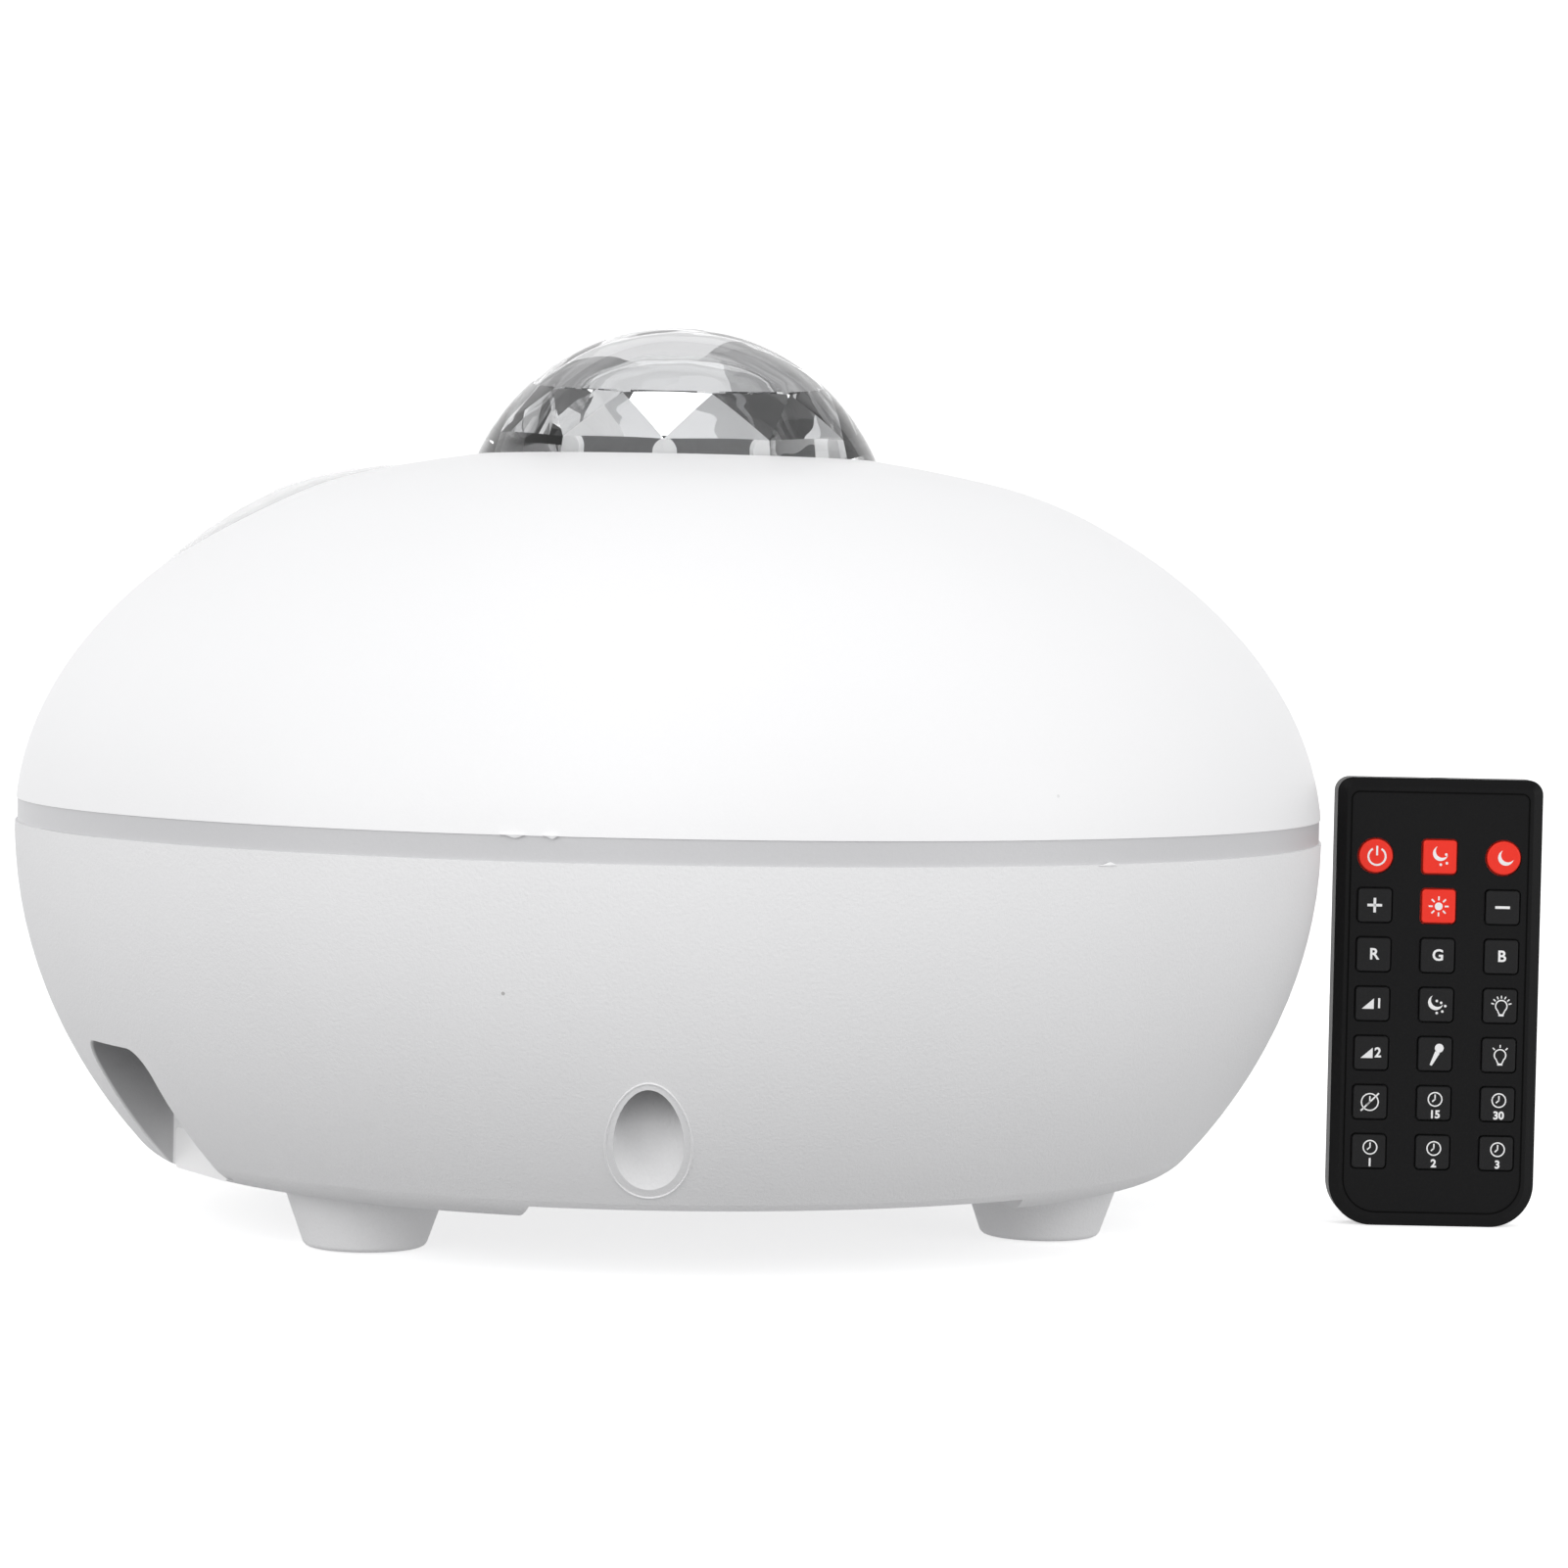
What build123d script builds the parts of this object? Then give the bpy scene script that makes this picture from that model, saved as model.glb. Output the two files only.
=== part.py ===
from build123d import *
import math
import os

# A star night light projector with its remote control, in millimetres.
# +X is to the right, +Y to the back and +Z up. The origin is on the table, under the
# middle of the footprint of the projector and the remote together.

# ---- driving dimensions: the projector's casing ----
body_radius = 123.0         # widest radius, at the lip of the lower shell
seam_height = 74.0          # the lower shell's lip above the table
upper_rise = 76.9           # upright half-axis of the upper shell's curve
crown_cut = 4.4             # the flattened crown's top below the curve's own top
crown_cap_radius = 274.0    # radius of the flattened crown
crown_blend_radius = 80.0
lower_pole_depth = 26.3     # lowest point of the lower shell's curve below the table
underside_height = 11.2     # flat underside above the table
rim_rounding = 11.0         # round between the flank and the underside
shell_wall = 2.6
trim_height = 4.35          # visible height of the trim band
trim_inset = 0.45           # how far the band stands back from the lips
trim_tongue_rise = 2.6      # the band's tongue inside each shell
trim_tongue_width = 2.0
trim_tongue_gap = 0.8

foot_inset = 49.6           # middle of a foot from the widest radius
foot_count = 3
foot_start_angle = 90.0
foot_bottom_radius = 10.9
foot_side_angle = 19.5      # the foot's side from the upright
foot_edge_round = 1.4
foot_wall = 2.4
pad_radius = 8.0
pad_thickness = 1.6
pad_proud = 0.3             # the pad stands below the foot by this

channel_foot_gap = 3.4      # from the underside's shallow channel to the front feet
channel_depth = 2.5
channel_end = 44.0          # where the channel ends, behind the middle
channel_draft = 10.0

well_inset = 15.2           # middle of a screw well from the widest radius
well_count = 3
well_start_angle = 15.4
well_radius = 6.0
well_wall = 2.0
well_ceiling = 50.0         # where the screw heads bear
well_web = 3.0
case_boss_radius = 4.5

niche_direction = -164.0    # niche for the socket and the button
niche_depth = 27.5          # its back wall from the widest radius
niche_half_width = 12.5
niche_ceiling = 36.2
niche_corner_round = 5.0

# ---- driving dimensions: dome and lamp ----
ball_radius = 41.4
ball_sink = 19.45           # centre of the dome's outer ball below the shell's crown
dome_gap = 0.5              # between the dome and the shell's opening
dome_wall = 3.8
dome_flange_rise = 14.2     # top of the flange above the ball's centre
dome_flange_thickness = 3.0
dome_flange_lip = 1.1       # flange outside the ball
dome_flange_gap = 0.4
dome_land_width = 4.0
facet_count = 10
facet_low_radius = 30.2
facet_high_radius = 25.6
facet_rise = 10.0           # height of the belt of facets
facet_crown_gap = 7.65      # from the belt's top to the top of the dome's inner ball
facet_start_angle = -93.4   # direction of the first low corner

lamp_wall = 2.2
lamp_clearance = 0.8        # the cup's bore outside the dome's inner ball
lamp_depth = 36.75
lamp_floor_thickness = 2.5
lamp_flange_lip = 1.5       # the cup's flange outside the dome's flange
lamp_flange_thickness = 3.2
lamp_screw_offset = 6.5     # from the cup's flange to its screws
lamp_screw_count = 3
lamp_ear_radius = 5.2
lamp_ear_start_angle = 105.0
lamp_boss_radius = 3.6

sink_gap = 0.8              # between the heat sink and the cup
sink_thickness = 2.4
led_board_inset = 2.6       # the LED board inside the heat sink's rim
led_board_thickness = 1.6
led_circle_radius = 18.0
led_count = 6
led_size = 3.5
led_height = 1.2
led_lens_radius = 5.6
led_lens_height = 4.6
led_lens_gap = 0.4

disc_motor_radius = 12.0
disc_motor_length = 18.0
disc_motor_nose_radius = 3.4
disc_shaft_radius = 1.5
disc_lens_gap = 7.4         # between the LED lenses and the ripple disc
disc_side_gap = 4.4         # between the ripple disc and the cup
disc_thickness = 2.4
disc_hub_radius = 4.5
disc_hub_drop = 3.5
ripple_radius = 5.5
ripple_depth = 0.9
ripple_ring_radii = (14.3, 26.5)
ripple_ring_counts = (6, 12)

# ---- driving dimensions: star window ----
window_direction = 165.0
window_offset = 28.5        # middle of the bezel's face from the dome's land
window_sink = 3.65          # middle of the bezel's face below the shell's curve
window_extra_tilt = 1.0     # beyond the slope of the shell's curve
bezel_radius = 32.0
bezel_thickness = 3.2
bezel_edge_round = 0.8
bezel_gap = 0.15
window_aperture_radius = 26.0
window_lens_radius = 28.0
window_lens_thickness = 2.0
window_lens_crown = 5.5     # the lens stands this far above the bezel's face
window_lens_rim = 2.4       # width of the lens's rim round its hollow
window_lens_gap = 0.1
window_shelf_thickness = 2.6
window_shelf_margin = 2.6
optics_drop = 12.0          # top of the optics bracket below the bezel's face
optics_plate_thickness = 2.0
optics_plate_radius = 34.0
optics_plate_chord = 22.0   # the plate is cut off here, beside the lamp
optics_post_circle = 28.5
optics_post_radius = 3.0
optics_post_angles = (-90.0, 25.0, 155.0)
gear_module = 1.0
wheel_teeth = 44
pinion_teeth = 12
mesh_extra = 0.2            # added to the centre distance as backlash
tooth_tip_width = 0.75
tooth_root_width = 1.9
tooth_tip_share = 0.9       # height of a tooth above the pitch circle, in modules
tooth_root_share = 1.25     # and its depth below the pitch circle
wheel_drop = 8.0            # top of the star wheel below the bezel's face
wheel_thickness = 2.0
wheel_pin_radius = 2.0
wheel_running_gap = 0.05
wheel_hub_radius = 5.0
wheel_side_gap = 0.3
star_motor_angle = -32.5
star_motor_radius = 7.5
star_motor_length = 16.0
star_shaft_radius = 1.0
laser_offset = 12.0
laser_radius = 6.0
laser_length = 24.0

# ---- driving dimensions: electronics ----
board_inner_radius = 42.0
board_outer_gap = 2.0       # between the board and the niche's back wall
board_half_width = 28.0
board_height = 17.4
board_thickness = 1.6
board_post_radius = 3.2
board_post_inset = 4.2
socket_offset = -5.8        # sideways in the niche
inlet_height = 24.2         # socket and button axes above the table
socket_collar_radius = 4.1
socket_bore_radius = 2.85
socket_pin_radius = 1.0
socket_bore_depth = 9.5
socket_width = 9.2
socket_depth = 13.5
socket_setback = 0.5
button_offset = 6.1
button_radius = 4.2
button_gap = 0.3
button_proud = 0.8
button_edge_round = 0.5
button_travel = 0.5
button_flange_radius = 5.4
button_flange_thickness = 1.0
button_stem_radius = 1.6
button_stem_length = 1.6
switch_width = 6.0
switch_depth = 3.6
switch_plunger_radius = 1.5
switch_plunger_length = 1.2
receiver_depth = 5.0
receiver_width = 6.0
receiver_height = 7.0
receiver_round = 1.0
microphone_radius = 4.8
microphone_height = 5.2
microphone_round = 0.6
small_part_gap = 0.1

screw_radius = 1.45
screw_head_radius = 2.9
screw_head_height = 2.2
screw_clearance = 0.25
screw_bite_gap = 0.05
case_screw_length = 16.0
lamp_screw_length = 5.4
optics_screw_length = 10.4
board_screw_length = 4.6
small_screw_radius = 1.0
small_screw_head_radius = 2.0
small_screw_head_height = 1.4

# ---- driving dimensions: remote control ----
remote_turn = 14.57         # turned about Z
remote_clearance = 20.0     # middle of its face from the casing's widest radius
remote_along = -33.5
remote_width = 39.2
remote_length = 85.8
remote_depth = 7.2
remote_top_round = 2.8
remote_bottom_round = 8.4
remote_bevel = 1.8
remote_bevel_depth = 0.7
remote_plate = 1.0
remote_wall = 1.4
remote_parting = 4.1        # depth of the joint between its two covers
key_size = 6.4
key_corner = 0.7
key_gap = 0.3
key_proud = 0.35
key_flange = 0.6
key_flange_thickness = 0.5
key_pitch_across = 12.2
key_pitch_along = 9.43
key_edge_round = 0.25
first_row_drop = 14.9
remote_board_depth = 1.85   # front of the circuit board behind the face
remote_board_thickness = 0.6
remote_board_gap = 0.5
remote_post_spans = (29.0, 60.0)
remote_post_radius = 1.2
cell_radius = 10.0
cell_thickness = 2.5
cell_gap = 0.15
tray_width = 22.0
tray_length = 27.0
tray_floor = 0.6
tray_gap = 0.3
tray_recess = 0.4
cell_setback = 15.4         # middle of the cell from the tray's outer end
remote_led_radius = 1.5
remote_led_round = 1.2
remote_led_length = 5.0
remote_led_gap = 0.3

# ---- planes and axes ----
lower_drop = seam_height + lower_pole_depth
band_top = seam_height + trim_height
foot_circle_radius = body_radius - foot_inset
well_circle_radius = body_radius - well_inset
niche_back_radius = body_radius - niche_depth
remote_across = body_radius + remote_clearance
remote_cos = math.cos(math.radians(remote_turn))
remote_sin = math.sin(math.radians(remote_turn))
remote_reach = remote_across + remote_width / 2 * remote_cos + remote_depth * remote_sin
projector_x = (body_radius - remote_reach) / 2
base = Plane(origin=(projector_x, 0, 0), x_dir=(1, 0, 0), z_dir=(0, 0, 1))
section_plane = Plane(origin=(projector_x, 0, 0), x_dir=(1, 0, 0), z_dir=(0, -1, 0))
projector_axis = Axis((projector_x, 0, 0), (0, 0, 1))

niche_cos = math.cos(math.radians(niche_direction))
niche_sin = math.sin(math.radians(niche_direction))
niche_plan = Plane(origin=(projector_x, 0, 0), x_dir=(niche_cos, niche_sin, 0), z_dir=(0, 0, 1))
niche_front = Plane(
    origin=(projector_x + niche_back_radius * niche_cos, niche_back_radius * niche_sin, 0),
    x_dir=(-niche_sin, niche_cos, 0),
    z_dir=(niche_cos, niche_sin, 0),
)

crown = seam_height + upper_rise - crown_cut
ball_height = crown - ball_sink
dome_inner_radius = ball_radius - dome_wall
dome_flange_top = ball_height + dome_flange_rise
dome_flange_radius = ball_radius + dome_flange_lip
dome_land_radius = dome_flange_radius + dome_land_width

window_centre_radius = dome_land_radius + window_offset
window_curve_rise = upper_rise * math.sqrt(1 - (window_centre_radius / body_radius) ** 2)
window_face_height = seam_height + window_curve_rise - window_sink
curve_slope = upper_rise**2 * window_centre_radius / (body_radius**2 * window_curve_rise)
window_tilt = math.degrees(math.atan(curve_slope)) + window_extra_tilt
window_cos = math.cos(math.radians(window_direction))
window_sin = math.sin(math.radians(window_direction))
tilt_cos = math.cos(math.radians(window_tilt))
tilt_sin = math.sin(math.radians(window_tilt))
window_plane = Plane(
    origin=(
        projector_x + window_centre_radius * window_cos,
        window_centre_radius * window_sin,
        window_face_height,
    ),
    x_dir=(-window_sin, window_cos, 0),
    z_dir=(tilt_sin * window_cos, tilt_sin * window_sin, tilt_cos),
)
window_section = Plane(
    origin=window_plane.origin,
    x_dir=window_plane.x_dir,
    z_dir=-window_plane.y_dir,
)
window_axis = Axis(window_plane.origin, window_plane.z_dir)

remote_face = Plane(
    origin=(projector_x + remote_across, remote_along, remote_length / 2),
    x_dir=(remote_cos, -remote_sin, 0),
    z_dir=(-remote_sin, -remote_cos, 0),
)

os.makedirs("parts", exist_ok=True)


def finish(piece, name):
    """Give a finished piece its name and write it."""
    piece.part.label = name
    export_step(piece.part, f"parts/{name}.step")


def shell_profile(half_width, half_height, low, high, rounding=0.0):
    """Upright half-section of a shell's curve, cut off level at low and high."""
    with BuildSketch(section_plane) as profile:
        with Locations((0, seam_height)):
            Ellipse(half_width, half_height)
        with Locations((0, low)):
            Rectangle(half_width, high - low, align=(Align.MIN, Align.MIN), mode=Mode.INTERSECT)
        if rounding > 0:
            corner = profile.vertices().group_by(Axis.Y)[0].sort_by(Axis.X)[-1]
            fillet(corner, rounding)
    return profile.sketch


def upper_solid(inset):
    """The upper shell's form with its flattened crown, moved inwards by inset."""
    with BuildPart() as form:
        with BuildSketch(section_plane):
            with Locations((0, seam_height)):
                Ellipse(body_radius - inset, upper_rise - inset)
            with Locations((0, crown - crown_cap_radius)):
                Circle(crown_cap_radius - inset, mode=Mode.INTERSECT)
            with Locations((0, band_top)):
                Rectangle(
                    body_radius, upper_rise, align=(Align.MIN, Align.MIN), mode=Mode.INTERSECT
                )
        revolve(axis=projector_axis)
        shoulder = form.edges().filter_by(Plane.XY).sort_by(Axis.Z)[-1]
        fillet(shoulder, crown_blend_radius - inset)
    return form.part


def curve_radius(half_width, half_height, height):
    """Radius of a shell's curve at a height above the table."""
    return half_width * math.sqrt(1 - ((height - seam_height) / half_height) ** 2)


# ---- lower shell ----
inner_radius = body_radius - shell_wall
floor_top = underside_height + shell_wall
foot_spread = math.tan(math.radians(foot_side_angle))
foot_top_radius = foot_bottom_radius + foot_spread * (floor_top - pad_proud)
core_bottom = pad_proud + pad_thickness + foot_wall
core_top_radius = foot_top_radius - foot_wall
front_foot_offset = foot_circle_radius * math.cos(math.radians(foot_start_angle - 360 / foot_count))
channel_half_width = front_foot_offset - foot_top_radius - channel_foot_gap
channel_length = body_radius + channel_end
channel_middle = (channel_end - body_radius) / 2
well_seat = well_ceiling + well_web
niche_outer = body_radius - niche_back_radius
panel_inner_radius = niche_back_radius - shell_wall
board_top = board_height + board_thickness
board_outer_radius = panel_inner_radius - board_outer_gap
board_middle = (board_inner_radius + board_outer_radius) / 2
board_length = board_outer_radius - board_inner_radius
board_post_spans = (board_length - 2 * board_post_inset, 2 * (board_half_width - board_post_inset))

with BuildPart() as lower_form:
    outline = shell_profile(body_radius, lower_drop, underside_height, seam_height, rim_rounding)
    revolve(outline, axis=projector_axis)

with BuildPart() as lower_hollow:
    outline = shell_profile(
        inner_radius, lower_drop - shell_wall, floor_top, seam_height, rim_rounding - shell_wall
    )
    revolve(outline, axis=projector_axis)
    # the niche's walls stay standing
    with BuildSketch(niche_front.offset(-shell_wall)) as niche_block:
        with Locations((0, underside_height)):
            Rectangle(
                2 * (niche_half_width + shell_wall),
                niche_ceiling + shell_wall - underside_height,
                align=(Align.CENTER, Align.MIN),
            )
        fillet(niche_block.vertices().group_by(Axis.Y)[-1], niche_corner_round + shell_wall)
    extrude(amount=niche_outer + shell_wall, mode=Mode.SUBTRACT)
    # and so do the tubes of the screw wells
    with BuildSketch(base.offset(underside_height)):
        with PolarLocations(well_circle_radius, well_count, start_angle=well_start_angle):
            Circle(well_radius + well_wall)
    extrude(amount=well_seat - underside_height, mode=Mode.SUBTRACT)
    # the floor is raised over the channel
    with BuildSketch(base.offset(underside_height)):
        with Locations((0, channel_middle)):
            Rectangle(2 * (channel_half_width + shell_wall), channel_length + 2 * shell_wall)
    extrude(amount=channel_depth + shell_wall, mode=Mode.SUBTRACT)
    # posts for the control board
    with BuildSketch(niche_plan.offset(underside_height)):
        with Locations((board_middle, 0)):
            with GridLocations(*board_post_spans, 2, 2):
                Circle(board_post_radius)
    extrude(amount=board_height - underside_height, mode=Mode.SUBTRACT)

with BuildPart() as lower_shell:
    add(lower_form.part)
    add(lower_hollow.part, mode=Mode.SUBTRACT)
    # three moulded feet, cored from inside
    with BuildSketch(base.offset(floor_top)):
        with PolarLocations(foot_circle_radius, foot_count, start_angle=foot_start_angle):
            Circle(foot_top_radius)
    extrude(amount=-(floor_top - pad_proud), taper=foot_side_angle)
    foot_rims = lower_shell.edges().group_by(Axis.Z)[0]
    fillet(foot_rims, foot_edge_round)
    with BuildSketch(base.offset(floor_top)):
        with PolarLocations(foot_circle_radius, foot_count, start_angle=foot_start_angle):
            Circle(core_top_radius)
    extrude(amount=-(floor_top - core_bottom), taper=foot_side_angle, mode=Mode.SUBTRACT)
    with BuildSketch(base):
        with PolarLocations(foot_circle_radius, foot_count, start_angle=foot_start_angle):
            Circle(pad_radius)
    extrude(amount=pad_thickness, mode=Mode.SUBTRACT)
    # the channel, open towards the front rim
    with BuildSketch(base.offset(underside_height)):
        with Locations((0, channel_middle)):
            Rectangle(2 * channel_half_width, channel_length)
    extrude(amount=channel_depth, taper=channel_draft, mode=Mode.SUBTRACT)
    # screw wells, with a clearance hole in the web at the top of each
    with BuildSketch(base):
        with PolarLocations(well_circle_radius, well_count, start_angle=well_start_angle):
            Circle(well_radius)
    extrude(amount=well_ceiling, mode=Mode.SUBTRACT)
    with BuildSketch(base):
        with PolarLocations(well_circle_radius, well_count, start_angle=well_start_angle):
            Circle(screw_radius + screw_clearance)
    extrude(amount=well_seat, mode=Mode.SUBTRACT)
    # niche
    with BuildSketch(niche_front) as niche_mouth:
        Rectangle(2 * niche_half_width, niche_ceiling, align=(Align.CENTER, Align.MIN))
        fillet(niche_mouth.vertices().group_by(Axis.Y)[-1], niche_corner_round)
    extrude(amount=niche_outer, mode=Mode.SUBTRACT)
    with BuildSketch(niche_front):
        with Locations((socket_offset, inlet_height)):
            Circle(socket_collar_radius + small_part_gap)
        with Locations((button_offset, inlet_height)):
            Circle(button_radius + button_gap)
    extrude(amount=-shell_wall, mode=Mode.SUBTRACT)
    # pilot holes in the board posts
    with BuildSketch(niche_plan.offset(board_height)):
        with Locations((board_middle, 0)):
            with GridLocations(*board_post_spans, 2, 2):
                Circle(small_screw_radius + screw_bite_gap)
    extrude(amount=-(board_screw_length - board_thickness), mode=Mode.SUBTRACT)
finish(lower_shell, "lower_shell")

# ---- foot pads ----
for number, place in enumerate(PolarLocations(foot_circle_radius, foot_count, foot_start_angle)):
    with BuildPart() as foot_pad:
        with BuildSketch(base):
            with Locations(place.position):
                Circle(pad_radius)
        extrude(amount=pad_thickness)
        fillet(foot_pad.edges().group_by(Axis.Z)[0], pad_proud)
    finish(foot_pad, f"foot_pad_{number + 1}")

# ---- trim band ----
band_radius = body_radius - trim_inset
tongue_radius = curve_radius(inner_radius, upper_rise - shell_wall, band_top + trim_tongue_rise)
tongue_outer = tongue_radius - trim_tongue_gap
tongue_inner = tongue_outer - trim_tongue_width

with BuildPart() as trim_band:
    with BuildSketch(section_plane):
        with Locations((tongue_inner, seam_height)):
            Rectangle(band_radius - tongue_inner, trim_height, align=(Align.MIN, Align.MIN))
        with Locations((tongue_inner, seam_height - trim_tongue_rise)):
            Rectangle(
                trim_tongue_width, trim_height + 2 * trim_tongue_rise, align=(Align.MIN, Align.MIN)
            )
    revolve(axis=projector_axis)
finish(trim_band, "trim_band")

# ---- upper shell ----
lamp_flange_top = dome_flange_top - dome_flange_thickness
lamp_flange_radius = dome_flange_radius + lamp_flange_lip
lamp_screw_circle = lamp_flange_radius + lamp_screw_offset
case_pilot_depth = case_screw_length - well_web + screw_head_height
shelf_drop = bezel_thickness + window_shelf_thickness
shelf_radius = bezel_radius + window_shelf_margin
lamp_pilot_depth = lamp_screw_length - lamp_flange_thickness

upper_form = upper_solid(0)
upper_inside = upper_solid(shell_wall)

with BuildPart() as upper_hollow:
    add(upper_inside)
    # land above the dome's flange
    with BuildSketch(base.offset(dome_flange_top)):
        Circle(dome_land_radius)
    extrude(amount=crown - dome_flange_top, mode=Mode.SUBTRACT)
    # bosses for the lamp housing's screws
    with BuildSketch(base.offset(lamp_flange_top)):
        with PolarLocations(lamp_screw_circle, lamp_screw_count, lamp_ear_start_angle):
            Circle(lamp_boss_radius)
    extrude(amount=crown - lamp_flange_top, mode=Mode.SUBTRACT)
    # upper part of the case bosses
    with BuildSketch(base.offset(band_top)):
        with PolarLocations(well_circle_radius, well_count, start_angle=well_start_angle):
            Circle(case_boss_radius)
    extrude(amount=upper_rise, mode=Mode.SUBTRACT)
    # shelf under the star window
    with BuildSketch(window_plane.offset(-shelf_drop)):
        Circle(shelf_radius)
    extrude(amount=2 * shelf_drop, mode=Mode.SUBTRACT)

with BuildPart() as upper_shell:
    add(upper_form)
    add(upper_hollow.part, mode=Mode.SUBTRACT)
    # lower part of the case bosses
    with BuildSketch(base.offset(well_seat)):
        with PolarLocations(well_circle_radius, well_count, start_angle=well_start_angle):
            Circle(case_boss_radius)
    extrude(amount=band_top - well_seat)
    # opening for the dome, and the pocket of its flange
    with Locations((projector_x, 0, ball_height)):
        Sphere(ball_radius + dome_gap, mode=Mode.SUBTRACT)
    with BuildSketch(base.offset(lamp_flange_top)):
        Circle(dome_flange_radius + dome_flange_gap)
    extrude(amount=dome_flange_thickness, mode=Mode.SUBTRACT)
    # seat of the window's bezel, and the opening below it
    with BuildSketch(window_plane.offset(-bezel_thickness)):
        Circle(bezel_radius + bezel_gap)
    extrude(amount=bezel_radius, mode=Mode.SUBTRACT)
    with BuildSketch(window_plane.offset(-shelf_drop)):
        Circle(window_aperture_radius)
    extrude(amount=shelf_drop, mode=Mode.SUBTRACT)
    # pilot holes
    with BuildSketch(base.offset(well_seat)):
        with PolarLocations(well_circle_radius, well_count, start_angle=well_start_angle):
            Circle(screw_radius + screw_bite_gap)
    extrude(amount=case_pilot_depth, mode=Mode.SUBTRACT)
    with BuildSketch(base.offset(lamp_flange_top)):
        with PolarLocations(lamp_screw_circle, lamp_screw_count, lamp_ear_start_angle):
            Circle(small_screw_radius + screw_bite_gap)
    extrude(amount=lamp_pilot_depth, mode=Mode.SUBTRACT)
    with BuildSketch(window_plane.offset(-shelf_drop)):
        for angle in optics_post_angles:
            with PolarLocations(optics_post_circle, 1, start_angle=angle):
                Circle(small_screw_radius + screw_bite_gap)
    extrude(amount=window_shelf_thickness, mode=Mode.SUBTRACT)
finish(upper_shell, "upper_shell")

# ---- case screws, in their wells ----
with BuildPart() as case_screws:
    with BuildSketch(base.offset(well_ceiling)):
        with PolarLocations(well_circle_radius, well_count, start_angle=well_start_angle):
            Circle(screw_head_radius)
    extrude(amount=-screw_head_height)
    with BuildSketch(base.offset(well_ceiling)):
        with PolarLocations(well_circle_radius, well_count, start_angle=well_start_angle):
            Circle(screw_radius)
    extrude(amount=case_screw_length)
finish(case_screws, "case_screws")

# ---- clear dome, a ball outside and cut in facets inside ----
facet_high_height = ball_height + dome_inner_radius - facet_crown_gap
facet_low_height = facet_high_height - facet_rise
facet_pitch = 360 / facet_count


def facet_corner(number, raised):
    """A corner of the faceted belt; the high corners stand half a pitch on."""
    angle = math.radians(facet_start_angle + facet_pitch * (number + (0.5 if raised else 0)))
    radius = facet_high_radius if raised else facet_low_radius
    height = facet_high_height if raised else facet_low_height
    return Vector(projector_x + radius * math.cos(angle), radius * math.sin(angle), height)


def facet_plane(corner, second, third):
    """Plane of one facet, facing away from the axis."""
    normal = (second - corner).cross(third - corner)
    outward = Vector(corner.X - projector_x, corner.Y, 0)
    return Plane(origin=corner, z_dir=normal if normal.dot(outward) > 0 else -normal)


with BuildPart() as facet_belt:
    with BuildSketch(base.offset(facet_low_height)):
        Circle(facet_low_radius)
    extrude(amount=facet_rise)
    for number in range(facet_count):
        low = facet_corner(number, False)
        low_next = facet_corner(number + 1, False)
        high = facet_corner(number, True)
        high_next = facet_corner(number + 1, True)
        split(bisect_by=facet_plane(low, low_next, high), keep=Keep.BOTTOM)
        split(bisect_by=facet_plane(high, high_next, low_next), keep=Keep.BOTTOM)

with BuildPart() as dome_hollow:
    with Locations((projector_x, 0, ball_height)):
        Sphere(dome_inner_radius)
    split(bisect_by=base.offset(facet_high_height), keep=Keep.TOP)
    add(facet_belt.part)
    with BuildSketch(base.offset(lamp_flange_top)):
        RegularPolygon(facet_low_radius, facet_count, rotation=facet_start_angle)
    extrude(amount=facet_low_height - lamp_flange_top)

with BuildPart() as crystal_dome:
    with BuildSketch(section_plane):
        with Locations((0, ball_height)):
            Circle(ball_radius)
        with Locations((0, dome_flange_top)):
            Rectangle(ball_radius, ball_radius, align=(Align.MIN, Align.MIN), mode=Mode.INTERSECT)
        with Locations((0, lamp_flange_top)):
            Rectangle(dome_flange_radius, dome_flange_thickness, align=(Align.MIN, Align.MIN))
    revolve(axis=projector_axis)
    add(dome_hollow.part, mode=Mode.SUBTRACT)
finish(crystal_dome, "crystal_dome")

# ---- lamp housing: a cup that clamps the dome from below ----
lamp_floor_height = lamp_flange_top - lamp_depth
lamp_inner_radius = dome_inner_radius + lamp_clearance
lamp_floor_top = lamp_floor_height + lamp_floor_thickness
lamp_flange_bottom = lamp_flange_top - lamp_flange_thickness
lamp_outer_radius = lamp_inner_radius + lamp_wall
ear_reach = lamp_screw_circle - lamp_outer_radius

with BuildPart() as lamp_housing:
    with BuildSketch(base.offset(lamp_floor_height)):
        Circle(lamp_outer_radius)
    extrude(amount=lamp_flange_top - lamp_floor_height)
    with BuildSketch(base.offset(lamp_flange_bottom)):
        Circle(lamp_flange_radius)
        with PolarLocations(lamp_screw_circle, lamp_screw_count, lamp_ear_start_angle):
            Circle(lamp_ear_radius)
            Rectangle(ear_reach, 2 * lamp_ear_radius, align=(Align.MAX, Align.CENTER))
    extrude(amount=lamp_flange_thickness)
    with BuildSketch(base.offset(lamp_floor_top)):
        Circle(lamp_inner_radius)
    extrude(amount=lamp_flange_top - lamp_floor_top, mode=Mode.SUBTRACT)
    with BuildSketch(base.offset(lamp_floor_height)):
        Circle(disc_motor_nose_radius + small_part_gap)
    extrude(amount=lamp_floor_thickness, mode=Mode.SUBTRACT)
    with BuildSketch(base.offset(lamp_flange_bottom)):
        with PolarLocations(lamp_screw_circle, lamp_screw_count, lamp_ear_start_angle):
            Circle(small_screw_radius + screw_clearance)
    extrude(amount=lamp_flange_thickness, mode=Mode.SUBTRACT)
finish(lamp_housing, "lamp_housing")

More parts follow.
